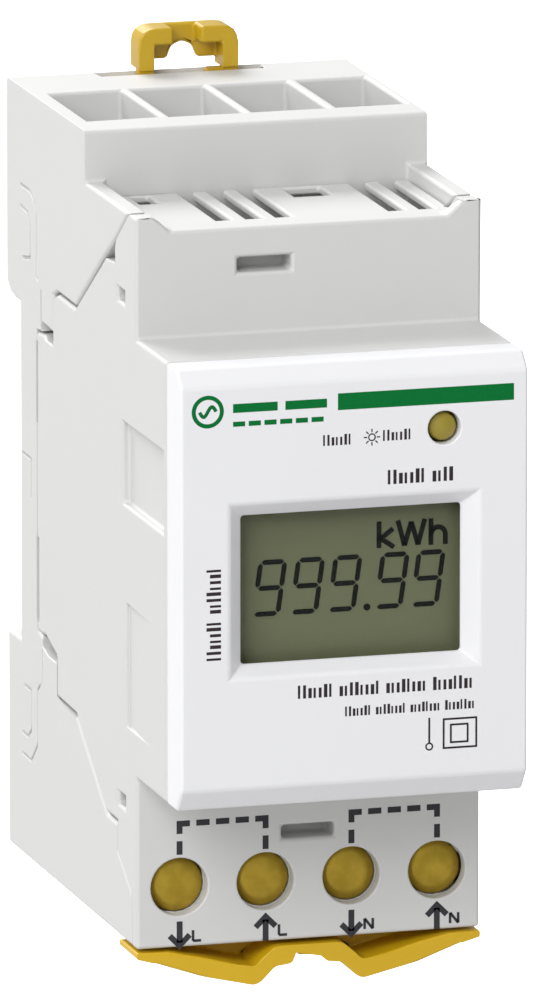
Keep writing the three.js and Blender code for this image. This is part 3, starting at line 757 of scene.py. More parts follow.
def circle(x: float, z: float, radius: float, count: int = 14) -> Array:
    """Returns points evenly round a circle."""
    angle = around(count)
    return np.stack([x + radius * np.cos(angle), z + radius * np.sin(angle)], axis=1)


def arc(x: float, z: float, radius: float, start: float, stop: float, count: int = 5) -> list[Point]:
    """Returns points along a circular arc from one angle to another."""
    angles = np.linspace(start, stop, count)
    return [(x + radius * math.cos(angle), z + radius * math.sin(angle)) for angle in angles]


def print_marks(
    name: str, outlines: Sequence[Array], depth: float, finish: Finish, film: float = 0.012
) -> None:
    """Lays flat printed shapes on a front face, each a thin closed prism.

    Args:
        name: the piece's name.
        outlines: simple outlines of (x, z).
        depth: how far in front of the rail seat the face is.
        finish: the ink.
        film: how far the print stands off the face, and sinks into it.
    """
    items = [(outline, depth - film, depth + film) for outline in outlines]
    surface = prisms(items, Axis.RIGHT.direction, Axis.UP.direction, (0.0, 0.0, 0.0))
    make_piece(name, surface, finish, smooth=False)


# ------------------------------------------------------------------------------ moulded shells


@dataclass
class FaceShading:
    """Corner normals for a rounded solid: flat faces stay flat, and roundings run smoothly into them.

    A corner of a flat face takes the mean of the flat faces round its vertex that turn less than the
    crease angle, weighted by area, so faceted bores look round. A corner of a rounding takes the normal
    of the flat faces that it meets there, or the mean of the roundings where it meets none.
    """

    mesh: bpy.types.Mesh
    crease: float = 28.0
    reach: float = 50.0

    def apply(self, rounded: Array) -> None:
        """Works out and stores the corner normals.

        Args:
            rounded: for each face, whether it belongs to a rounding.
        """
        count = len(self.mesh.polygons)
        normals, areas = np.empty(count * 3), np.empty(count)
        self.mesh.polygons.foreach_get("normal", normals)
        self.mesh.polygons.foreach_get("area", areas)
        normals = normals.reshape(-1, 3)
        around: list[list[int]] = [[] for _ in self.mesh.vertices]
        for face in self.mesh.polygons:
            for vertex in face.vertices:
                around[vertex].append(face.index)
        corners = []
        for face in self.mesh.polygons:
            own = normals[face.index]
            for vertex in face.vertices:
                ring = np.array(around[vertex])
                corners.append(self._corner(own, rounded[face.index], ring, normals, areas, rounded))
        self.mesh.polygons.foreach_set("use_smooth", [True] * count)
        self.mesh.normals_split_custom_set(corners)

    def _corner(
        self, own: Array, is_round: bool, ring: Array, normals: Array, areas: Array, rounded: Array
    ) -> Array:
        """Works out one corner's normal from the faces round its vertex.

        Args:
            own: the normal of the corner's own face.
            is_round: whether that face belongs to a rounding.
            ring: the faces round the vertex.
            normals: every face's normal.
            areas: every face's area.
            rounded: for each face, whether it belongs to a rounding.

        Returns:
            The corner's normal.
        """
        flat = ring[~rounded[ring]]
        limit = math.cos(math.radians(self.reach if is_round else self.crease))
        near = flat[normals[flat] @ own > limit] if len(flat) else flat
        if is_round and len(near) == 0:
            bends = ring[rounded[ring]]
            near = bends[normals[bends] @ own > math.cos(math.radians(self.reach))]
        total = (normals[near] * areas[near, None]).sum(axis=0) if len(near) else own
        length = np.linalg.norm(total)
        return total / length if length > 0 else own


@dataclass
class MouldedShell:
    """A moulded piece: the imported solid's own shape, with its edges rounded as a tool leaves them."""

    node: str
    name: str
    finish: Finish
    body: str = Body.METER
    radius: float = 0.35
    small_radius: float = 0.06
    sharp_angle: float = 30.0
    segments: int = 3
    room_share: float = 0.36
    merge_distance: float = 2e-6
    flat_angle: float = 0.6

    def build(self) -> None:
        """Copies the solid, merges its triangles into flat faces and rounds its edges."""
        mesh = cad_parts[self.node].data.copy()
        shape = bmesh.new()
        shape.from_mesh(mesh)
        bmesh.ops.remove_doubles(shape, verts=shape.verts, dist=self.merge_distance)
        bmesh.ops.dissolve_limit(
            shape, angle_limit=math.radians(self.flat_angle), verts=shape.verts, edges=shape.edges,
            use_dissolve_boundaries=False,
        )
        self._weigh_edges(shape)
        bmesh.ops.triangulate(shape, faces=[face for face in shape.faces if len(face.verts) > 4])
        shape.to_mesh(mesh)
        shape.free()
        rounded_mesh = self._rounded(mesh)
        rounded_mesh.name = self.name
        piece = adopt(bpy.data.objects.new(self.name, rounded_mesh), self.finish, self.body)
        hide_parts(self.node)

    def _weigh_edges(self, shape: bmesh.types.BMesh) -> None:
        """Gives each sharp edge a bevel weight: its radius over the largest, kept clear of its neighbours.

        Args:
            shape: the mesh being edited.
        """
        layer = shape.edges.layers.float.new("bevel_weight_edge")
        limit = math.radians(self.sharp_angle)
        for edge in shape.edges:
            if len(edge.link_faces) != 2 or edge.calc_face_angle(0.0) < limit:
                continue
            room = min(self._room(edge, vertex) for vertex in edge.verts)
            radius = min(self.radius, self.room_share * room / MM)
            if radius >= self.small_radius:
                edge[layer] = radius / self.radius

    @staticmethod
    def _room(edge: bmesh.types.BMEdge, vertex: bmesh.types.BMVert) -> float:
        """Returns the length of the shortest other edge at a corner."""
        others = [other.calc_length() for other in vertex.link_edges if other is not edge]
        return min(others, default=edge.calc_length())

    def _rounded(self, mesh: bpy.types.Mesh) -> bpy.types.Mesh:
        """Rounds the weighted edges, and marks the roundings by a second material while it shades them.

        Args:
            mesh: the flat-faced mesh, which is used up.

        Returns:
            The finished mesh.
        """
        draft = bpy.data.objects.new("draft", mesh)
        mesh.materials.clear()
        for _ in range(2):
            mesh.materials.append(self.finish.material())
        mesh.polygons.foreach_set("material_index", [0] * len(mesh.polygons))
        link(draft)
        bevel = draft.modifiers.new("edge_rounding", "BEVEL")
        bevel.limit_method = "WEIGHT"
        bevel.width = self.radius * MM
        bevel.segments = self.segments
        bevel.use_clamp_overlap = False
        bevel.material = 1
        bevel.loop_slide = False
        graph = bpy.context.evaluated_depsgraph_get()
        result = bpy.data.meshes.new_from_object(draft.evaluated_get(graph))
        bpy.data.objects.remove(draft)
        bpy.data.meshes.remove(mesh)
        index = np.empty(len(result.polygons), dtype=np.int32)
        result.polygons.foreach_get("material_index", index)
        result.polygons.foreach_set("material_index", [0] * len(index))
        FaceShading(result).apply(index == 1)
        return result


# ------------------------------------------------------------------------------ the cover's print


@dataclass
class CoverPrint:
    """Print on the cover: a green stripe, a plain emblem, pulse and class symbols and mock text."""

    face: float = field(default_factory=lambda: -corners_of("front_cover")[0][1])

    def build(self) -> None:
        """Lays down every mark."""
        self._stripe()
        self._emblem()
        self._symbols()
        self._mock_text()

    def _lay(self, name: str, outlines: Sequence[Array], ink: Finish = BLACK_INK) -> None:
        """Prints outlines on the face."""
        print_marks(name, outlines, self.face, ink)

    def _stripe(self) -> None:
        """Prints the long stripe, its ends cut square."""
        self._lay("cover_stripe", [rectangle(-1.77, 16.48, 17.8, 19.5)], GREEN_INK)

    def _emblem(self) -> None:
        """Prints a ring with one wave of alternating current in it, and two plain dashes beside it."""
        centre_x, centre_z = -15.2, 18.4
        ring = stroke(circle(centre_x, centre_z, 1.45, 36), 0.42, closed=True)
        reach = 0.85
        across = np.linspace(-reach, reach, 15)
        wave = np.stack([centre_x + across, centre_z + 0.5 * np.sin(across / reach * math.pi)], axis=1)
        dashes = [rectangle(-12.6, -8.0, 18.15, 19.05), rectangle(-7.2, -2.9, 18.15, 19.05)]
        lower = [rectangle(x, x + 1.25, 16.75, 17.25) for x in np.arange(-12.6, -3.4, 1.62)]
        self._lay("cover_emblem", [*ring, *stroke(wave, 0.36), *dashes], GREEN_INK)
        self._lay("cover_emblem_base", lower, GREEN_INK)

    def _symbols(self) -> None:
        """Prints the pulse sun, the stem with a ring, and the double square of double insulation."""
        sun, fine, pen, stem = (1.75, 14.85), 0.13, 0.2, 7.75
        ends = zip(circle(*sun, 0.5, 8), circle(*sun, 0.85, 8))
        rays = [leg for pair in ends for leg in stroke(pair, fine)]
        self._lay("pulse_symbol", [*stroke(circle(*sun, 0.34, 16), fine, closed=True), *rays])
        ring = stroke(circle(stem, -17.1, 0.34), 0.16, closed=True)
        self._lay("stem_symbol", [*stroke([(stem, -14.15), (stem, -16.75)], pen), *ring])
        outer = stroke(rectangle(9.25, 12.65, -17.35, -14.4), pen, closed=True)
        inner = stroke(rectangle(10.0, 11.75, -16.8, -15.0), pen, closed=True)
        self._lay("double_square_symbol", [*outer, *inner])

    def _mock_text(self) -> None:
        """Prints lines of strokes that stand where small lettering would be."""
        self._lay("mock_pulse_text", mock_line(-3.3, 0.6, 14.25, 1.1) + mock_line(2.9, 6.7, 14.4, 1.1))
        self._lay("mock_title", mock_line(3.4, 10.9, 9.95, 1.45, 0.26))
        self._lay("mock_rating", mock_line(-5.9, 12.7, -11.35, 1.35, 0.24))
        self._lay("mock_range", mock_line(-1.0, 12.7, -13.45, 1.0))
        upright = mock_line(-6.9, 3.6, 13.85, 1.5, 0.24)
        self._lay("mock_side_text", [np.stack([-line[:, 1], line[:, 0]], axis=1) for line in upright])


def mock_line(start: float, end: float, base: float, height: float, pen: float = 0.18) -> list[Array]:
    """Returns a line of upright ticks in word-like groups.

    Tick i is as wide as the pen times 1, 1.5 or 1.25 by the remainder of 2i over 3, and as tall as the
    height times 1 or 0.76 by that of 7i + 3 over 5. Each ninth place is left empty.

    Args:
        start: where the line begins, in millimetres.
        end: where it ends.
        base: the height of its foot.
        height: the height of the tallest tick.
        pen: the width of the thinnest tick.

    Returns:
        The outlines.
    """
    step = 0.4 * height
    shapes: list[Array] = []
    for index in range(int((end - start) / step)):
        if index % 9 == 7:
            continue
        left = start + index * step
        width = pen * (1.0, 1.5, 1.25)[(2 * index) % 3]
        top = base + height * (1.0 if (7 * index + 3) % 5 in (0, 3) else 0.76)
        shapes.append(rectangle(left, left + width, base, top))
    return shapes


# ------------------------------------------------------------------------------ terminal marks


@dataclass
class TerminalMarks:
    """Print on the wall over the terminals: dashed brackets, flow arrows and conductor letters."""

    face: float = 44.0
    pitch: float = 9.0
    pen: float = 0.62

    def build(self) -> None:
        """Lays down every mark."""
        places = [(-1.5, False, "L"), (-0.5, True, "L"), (0.5, False, "N"), (1.5, True, "N")]
        arrows: list[Array] = []
        letters: list[Array] = []
        for step, upward, letter in places:
            arrows += self._arrow(step * self.pitch, upward)
            letters += self._letter(step * self.pitch + 1.4, letter)
        print_marks("flow_arrows", arrows, self.face, MARK_INK)
        print_marks("conductor_letters", letters, self.face, MARK_INK)
        print_marks("bracket_left", self._bracket(-self.pitch), self.face, MARK_INK)
        print_marks("bracket_right", self._bracket(self.pitch), self.face, MARK_INK)

    def _bracket(self, centre: float) -> list[Array]:
        """Draws a dashed bracket that joins two terminals: a top run of dashes and two short legs.

        Args:
            centre: the place half-way between the terminals.

        Returns:
            The outlines.
        """
        half, top, dash = self.pitch / 2 + self.pen / 2, -27.1, 1.4
        shapes = [rectangle(centre + x - dash / 2, centre + x + dash / 2, top - self.pen, top)
                  for x in np.linspace(-half + dash / 2, half - dash / 2, 5)]
        for side in (-1, 1):
            inner, outer = sorted((side * half, side * (half - self.pen)))
            shapes.append(rectangle(centre + inner, centre + outer, top - 1.35, top - self.pen))
            shapes.append(rectangle(centre + inner, centre + outer, top - 3.5, top - 2.1))
        return shapes

    def _arrow(self, x: float, upward: bool) -> list[Array]:
        """Draws an arrow with a thick stem and a swept head.

        Args:
            x: the place of its stem.
            upward: whether it points up.

        Returns:
            The outlines.
        """
        sign = 1.0 if upward else -1.0
        middle, half = -38.8, 1.3
        tip, tail = middle + sign * half, middle - sign * half
        head = [(x - 1.05, tip - sign * 1.15), (x, tip - sign * 0.1), (x + 1.05, tip - sign * 1.15)]
        return [*stroke(head, 0.6), *stroke([(x, tip - sign * 0.4), (x, tail)], self.pen)]

    def _letter(self, x: float, letter: str) -> list[Array]:
        """Draws a conductor's letter.

        Args:
            x: its left edge.
            letter: L or N.

        Returns:
            The outlines.
        """
        low, high, right = -39.6, -38.5, x + 0.85
        lines = {
            "L": [(x, high), (x, low), (right, low)],
            "N": [(x, low), (x, high), (right, low), (right, high)],
        }
        return separate_legs(lines[letter], 0.28)


# ------------------------------------------------------------------------------ display


@dataclass
class Display:
    """The liquid crystal panel with its digits and unit, under its clear lens."""

    slant: float = 0.14
    digit_width: float = 2.5
    digit_height: float = 5.25
    pen: float = 0.5
    places: tuple[float, ...] = (-9.45, -5.53, -1.65, 3.25, 7.0)
    base: float = -3.3

    def build(self) -> None:
        """Builds the panel, the dark segments and the lens."""
        MouldedShell("lcd_cell", "display_panel", PANEL, radius=0.12, small_radius=0.05).build()
        film, gap = 0.02, 0.01
        face = film + gap - corners_of("lcd_cell")[0][1]
        shapes = [segment for x in self.places for segment in self._nine(x)]
        shapes.append(circle(2.3, self.base + 0.05, 0.36))
        print_marks("display_digits", shapes, face, SEGMENT, film)
        print_marks("display_unit", self._unit(), face, SEGMENT, film)
        MouldedShell("display_lens", "display_lens_clear", CLEAR, radius=0.2).build()

    def _segment(self, start: Point, end: Point) -> Array:
        """Draws a bar with pointed ends between two places, short of both by a small gap.

        Args:
            start: one end.
            end: the other.

        Returns:
            Its outline.
        """
        first, last = np.array(start), np.array(end)
        along = (last - first) / np.linalg.norm(last - first)
        across = np.array((-along[1], along[0])) * self.pen / 2
        tip, shoulder = 0.08 * along, (0.08 + self.pen / 2) * along
        return np.array([first + tip, first + shoulder - across, last - shoulder - across,
                         last - tip, last - shoulder + across, first + shoulder + across])

    def _nine(self, x: float) -> list[Array]:
        """Draws the lit segments of a nine, leaning right in proportion to height.

        Args:
            x: the left edge of its foot.

        Returns:
            The outlines.
        """
        right, middle, high = self.digit_width, self.digit_height / 2, self.digit_height
        bars = [((0, high), (right, high)), ((right, high), (right, middle)), ((right, middle), (right, 0)),
                ((0, 0), (right, 0)), ((0, high), (0, middle)), ((0, middle), (right, middle))]
        lean = np.array(((1.0, 0.0), (self.slant, 1.0)))
        return [self._segment(*bar) @ lean + (x, self.base) for bar in bars]

    def _unit(self) -> list[Array]:
        """Draws the unit of energy, kWh, in plain strokes.

        Returns:
            The outlines.
        """
        low, high, pen = 2.7, 5.4, self.pen
        k = [*stroke([(3.55, low), (3.55, high)], pen), *stroke([(5.0, 4.6), (3.75, 3.65), (5.1, low)], pen)]
        foot = low + 0.1
        w = separate_legs([(5.5, high), (6.2, foot), (6.9, high - 0.2), (7.6, foot), (8.3, high)], pen)
        arch = arc(9.7, 3.75, 0.75, math.pi, 0.0, 9)
        return [*k, *w, *stroke([(8.95, low), (8.95, high)], pen), *stroke([*arch, (10.45, low)], pen)]


# ------------------------------------------------------------------------------ pulse lamp and screws


@dataclass
class PulseLamp:
    """The amber end of the light pipe, sunk a little into its hole."""

    node: str = "pulse_lens"
    radius: float = 1.42
    rim: float = 0.3

    def build(self) -> None:
        """Turns the lens on its own axis, with a rounded rim and a faintly domed face."""
        low, high = corners_of(self.node)
        length, flange, radius, rim = high[1] - low[1], (high[0] - low[0]) / 2, self.radius, self.rim
        profile = [(0, 0), (radius, 0), (radius, 0.4 * length), (flange, 0.4 * length),
                   (flange, 0.57 * length), (radius, 0.58 * length),
                   *arc(radius - rim, length - 2 * rim, rim, 0.0, QUARTER),
                   (0.6 * radius, length - 0.6 * rim), (0.3 * radius, length - 0.1 * rim), (0, length)]
        surface = turned(profile, foot_of(self.node, Axis.FORWARD), Axis.FORWARD)
        make_piece("pulse_lens_amber", surface, AMBER, self.node)


@dataclass
class TerminalScrew:
    """A domed screw with a rolled thread, turned about its own axis."""

    index: int
    sides: int = 48
    pitch: float = 0.7
    shank: float = 1.98
    thread_depth: float = 0.3
    head_height: float = 4.55
    dome_height: float = 1.0

    def build(self) -> None:
        """Works out head, neck and threaded shank as one grid round the axis.

        The shank's radius is the core plus a triangular wave of height along the axis minus the turn's
        share of the pitch, so that the crest runs round as a helix.
        """
        node = f"terminal_screw_{self.index}"
        low, high = corners_of(node)
        head_radius, length = (high[0] - low[0]) / 2, high[1] - low[1]
        head_base, dome_base = length - self.head_height, length - self.dome_height
        core = self.shank - self.thread_depth
        heights = np.concatenate([[0.0], np.linspace(0.25, head_base - 0.35, 130), [head_base]])
        ridge = 1.0 - np.abs(2.0 * helix(heights, self.pitch, self.sides) - 1.0)
        fade = np.clip(np.minimum((heights - 0.2) / 0.8, (head_base - 0.4 - heights) / 0.5), 0, 1)[:, None]
        radius = core + self.thread_depth * ridge * fade
        radius[0] = core - 0.35
        head = [(core + 0.1, head_base), (head_radius - 0.15, head_base), (head_radius, head_base + 0.15),
                (head_radius, dome_base - 0.02)]
        head += [(head_radius * max(math.cos(s * QUARTER), 0.0) ** 0.8 + 0.02 * s,
                  dome_base + self.dome_height * math.sin(s * QUARTER)) for s in np.linspace(0, 1, 12)[1:]]
        head_radii, head_heights = np.array(head).T
        radius = np.vstack([radius, np.repeat(head_radii[:, None], self.sides, axis=1)])
        foot = foot_of(node, Axis.FORWARD)
        surface = revolved(np.concatenate([heights, head_heights]), radius, foot, Axis.FORWARD)
        make_piece(f"screw_{self.index}_domed", surface, SCREW, node, f"screw_{self.index}")


# ------------------------------------------------------------------------------ inner finishes


@dataclass(frozen=True)
class Sleeve(Finish):
    """Shrunk sleeve of an electrolytic capacitor: dark gloss with a pale polarity stripe and dashes."""

    forward: float = 0.0
    height: float = 0.0
    radius: float = 4.0

    def dress(self, graph: Graph) -> None:
        """Fills the node tree. The stripe is where the sleeve bulges furthest up.

        Args:
            graph: the material's node tree.
        """
        along, _, up = graph.split(graph.place(shift=(0.0, self.forward, -self.height)))
        stripe = up.above(0.84 * self.radius)
        dash = (along * (TURN / 3.2)).wave().above(0.35)
        film = graph.noise(graph.place(), 1.4, 2.0)
        pale = graph.blend(dash, srgb(176, 180, 186), self.colour)
        graph.set(
            Base_Color=graph.blend(stripe, self.tones(graph, film * 0.3, 1.0, 1.6), pale),
            Roughness=self.gloss(0.08, film),
        )
        graph.relief(film, 0.01)


@dataclass(frozen=True)
class WoundWire(Finish):
    """Enamelled wire, with painted shade that darkens it between its windings."""

    def dress(self, graph: Graph) -> None:
        """Fills the node tree.

        Args:
            graph: the material's node tree.
        """
        along, _, _ = graph.split(graph.place())
        # painted shade: the colour falls to 0.6 of itself between the windings
        painted_gap_shade = (along * (TURN / 0.45)).wave().ramp(-1.0, 1.0)
        stain = graph.noise(graph.place(), 1.1, 2.0)
        graph.set(
            Base_Color=graph.blend(painted_gap_shade, shade(self.colour, 0.6), self.tones(graph, stain, 1.0, 1.25)),
            Metallic=0.8,
            Roughness=self.roughness + 0.1 * stain,
        )


FRAME_BLACK = MouldedPlastic("frame_plastic", "frame_plastic", srgb(46, 47, 49), 0.5, depth=0.005)
MILKY = MouldedPlastic("milky_plastic", "milky_plastic", srgb(228, 227, 214), 0.35, depth=0.002, glow=0.1)
RUBBER = Layered("layered_rubber", "elastomer", srgb(40, 40, 44), 0.7)
DISPLAY_MASK = CircuitBoard("display_board_mask", "circuit_board", srgb(22, 82, 46), 0.35, across=0)
MAIN_MASK = CircuitBoard("main_board_mask", "circuit_board", srgb(22, 82, 46), 0.35, across=1)
EPOXY = MouldedPlastic("chip_epoxy", "chip_epoxy", srgb(38, 38, 41), 0.55, grain=0.05, depth=0.003)
FERRITE = MouldedPlastic("ferrite_core", "chip_epoxy", srgb(52, 50, 50), 0.6, grain=0.3, depth=0.01)
CERAMIC = MouldedPlastic("ceramic_body", "chip_epoxy", srgb(126, 104, 80), 0.5, grain=0.08)
CAN = PlatedMetal("crystal_can", "crystal_can", srgb(190, 192, 196), 0.25, tint=srgb(176, 178, 184))
TIN = PlatedMetal("tinned_lead", "crystal_can", srgb(196, 197, 198), 0.3, tint=srgb(178, 180, 184))
GOLD = PlatedMetal("gilt_pin", "crystal_can", srgb(214, 178, 94), 0.25, tint=srgb(200, 160, 78))
FILM_BOX = MouldedPlastic("film_capacitor_box", "film_capacitor_box", srgb(214, 172, 58), 0.4, clouds=0.04)
LACQUER = MouldedPlastic("varistor_coat", "varistor_coat", srgb(38, 82, 152), 0.3, 0.5, 0.02, coat=0.3)
CEMENT = MouldedPlastic("resistor_coat", "resistor_body", srgb(130, 150, 112), 0.7, grain=0.22, depth=0.02)
COPPER = BareMetal("copper_bar", "copper_bar", srgb(206, 136, 98), 0.3, tarnish=srgb(146, 88, 58))
ALLOY = BareMetal("shunt_alloy", "shunt_alloy", srgb(170, 160, 148), 0.35, tarnish=srgb(132, 120, 106))
ZINC = BareMetal("clamp_zinc", "clamp_steel", srgb(198, 202, 206), 0.32, tarnish=srgb(160, 164, 172))
CARRIER = MouldedPlastic("carrier_plastic", "carrier_plastic", srgb(206, 204, 196), 0.55, depth=0.005)
INSULATION = MouldedPlastic("lead_insulation", "lead_insulation", srgb(40, 74, 150), 0.4, depth=0.003)
ENAMEL = WoundWire("enamelled_wire", "copper_bar", srgb(178, 92, 46), 0.3)


# ------------------------------------------------------------------------------ electronics


class Facing(Enum):
    """Which way a part stands off its board: its normal and the direction along a row of leads."""

    MAIN = ((1.0, 0.0, 0.0), (0.0, 0.0, 1.0))
    DISPLAY = ((0.0, 1.0, 0.0), (0.0, 0.0, 1.0))
    DISPLAY_TURNED = ((0.0, 1.0, 0.0), (1.0, 0.0, 0.0))

    @property
    def axes(self) -> tuple[Array, Array, Array]:
        """Returns the normal, the direction along the row, and the direction square to both."""
        normal, along = (np.array(part) for part in self.value)
        return normal, along, np.cross(normal, along)


def tube(points: Sequence[Sequence[float]], radius: float, steps: int = 8, sides: int = 16) -> Surface:
    """Works out a round wire along a smooth curve through points.

    Between two points the curve is the Catmull-Rom cubic. A ring at each step lies across the curve,
    on axes carried along from the ring before by taking away their part along the new direction.

    Args:
        points: the places that the wire passes through.
        radius: its radius.
        steps: rings between two points.
        sides: points round a ring.

    Returns:
        Points, and faces with both ends closed.
    """
    knots = np.array(points, float)
    padded = np.vstack([2 * knots[0] - knots[1], knots, 2 * knots[-1] - knots[-2]])
    share = np.linspace(0, 1, steps, endpoint=False)[None, :, None]
    p0, p1, p2, p3 = (padded[k:len(padded) - 3 + k, None, :] for k in range(4))
    curve = 0.5 * (2 * p1 + (p2 - p0) * share + (2 * p0 - 5 * p1 + 4 * p2 - p3) * share ** 2
                   + (3 * p1 - p0 - 3 * p2 + p3) * share ** 3)
    line = np.vstack([curve.reshape(-1, 3), knots[-1]])
    heading = np.gradient(line, axis=0)
    heading /= np.linalg.norm(heading, axis=1, keepdims=True)
    side = np.cross(heading[0], (0.31, 0.87, 0.38))
    sideways = []
    for direction in heading:
        side = side - direction * (side @ direction)
        side = side / np.linalg.norm(side)
        sideways.append(side)
    across = np.array(sideways)
    upward = np.cross(heading, across)
    angle = around(sides)[None, :, None]
    rings = line[:, None] + radius * (np.cos(angle) * across[:, None] + np.sin(angle) * upward[:, None])
    return np.vstack([rings.reshape(-1, 3), line[[0, -1]]]), closed_faces(len(line), sides)


def straight_legs(starts: Iterable[Sequence[float]], end: float, radius: float) -> Surface:
    """Works out straight wires that run from their starts along X to one plane."""
    return merged(tube([(x, y, z), (end, y, z)], radius, 2, 12) for x, y, z in starts)


def outline_band(points: Sequence[Point], width: float) -> Array:
    """Draws a bent strip that follows a line of points.

    Args:
        points: the line.
        width: the strip's width.

    Returns:
        Its closed outline.
    """
    legs = stroke(points, width)
    right = [leg[0] for leg in legs] + [legs[-1][1]]
    left = [leg[3] for leg in legs] + [legs[-1][2]]
    return np.array(right + left[::-1])


@dataclass
class ChipPackage:
    """A moulded chip with gull-wing leads that reach down to its board."""

    node: str
    facing: Facing
    pitch: float = 0.65
    count: int = 8
    lead_width: float = 0.28
    label: str = "leads"
    thickness: float = 0.16
    gap: float = 0.3

    def build_body(self) -> None:
        """Dresses the moulded body, with its edges softened."""
        MouldedShell(self.node, f"{self.node}_body", EPOXY, radius=0.18).build()

    def build_leads(self) -> None:
        """Bends one strip and repeats it along both sides of the body.

        The strip leaves the body at half its height, drops to the board and ends in a flat foot.
        """
        normal, _, across = self.facing.axes
        low, high = corners_of(self.node)
        half, tall = np.abs((high - low) @ across) / 2, np.abs((high - low) @ normal)
        rise, flat = self.gap + tall / 2, self.thickness / 2
        path = [(half - 0.2, rise), (half + 0.35, rise), (half + 0.55, flat), (half + 1.1, flat)]
        shape = outline_band(path, self.thickness)
        places = (np.arange(self.count) - (self.count - 1) / 2) * self.pitch
        items = [(shape, place - self.lead_width / 2, place + self.lead_width / 2) for place in places]
        foot = (low + high) / 2 - normal * rise
        leads = merged(prisms(items, sign * across, normal, foot) for sign in (-1.0, 1.0))
        make_piece(f"{self.node}_{self.label}", leads, TIN, smooth=False)


@dataclass
class CanCapacitor:
    """An electrolytic capacitor: rolled can in its sleeve, scored top and two leads to the board."""

    node: str
    radius: float
    lead_end: float = -13.2

    def build(self) -> None:
        """Turns the sleeve and the bare top, and runs the leads to the board.

        The sleeve's groove is the square of a sine deep, and its two ends are rounded.
        """
        low, high = corners_of(self.node)
        foot, r, length = foot_of(self.node, Axis.RIGHT), self.radius, high[0] - low[0]
        groove = [(r - 0.32 * math.sin(a) ** 2, 1.1 + 0.9 * a / math.pi) for a in np.linspace(0, math.pi, 9)]
        profile = [(0, 0), (r - 0.35, 0), *arc(r - 0.35, 0.35, 0.35, -QUARTER, 0.0), *groove,
                   *arc(r - 0.4, length - 0.4, 0.4, 0.0, QUARTER),
                   (0.8 * r, length), (0.78 * r, length - 0.15), (0, length - 0.15)]
        sleeve = Sleeve(f"{self.node}_sleeve", "chip_epoxy", srgb(30, 32, 44), 0.3, -foot[1], foot[2], r)
        make_piece(f"{self.node}_can", turned(profile, foot, Axis.RIGHT), sleeve, self.node)
        disc = [(0, -0.2), (0.76 * r, -0.2), (0.76 * r, 0.0), (0.7 * r, 0.06), (0.25 * r, 0.02), (0, 0.02)]
        top = foot + (length - 0.1, 0.0, 0.0)
        make_piece(f"{self.node}_top", turned(disc, top, Axis.RIGHT, 40), CAN)
        starts = [foot + (0.4, side * r / 2, 0.0) for side in (-1, 1)]
        make_piece(f"{self.node}_wires", straight_legs(starts, self.lead_end, 0.3), TIN)


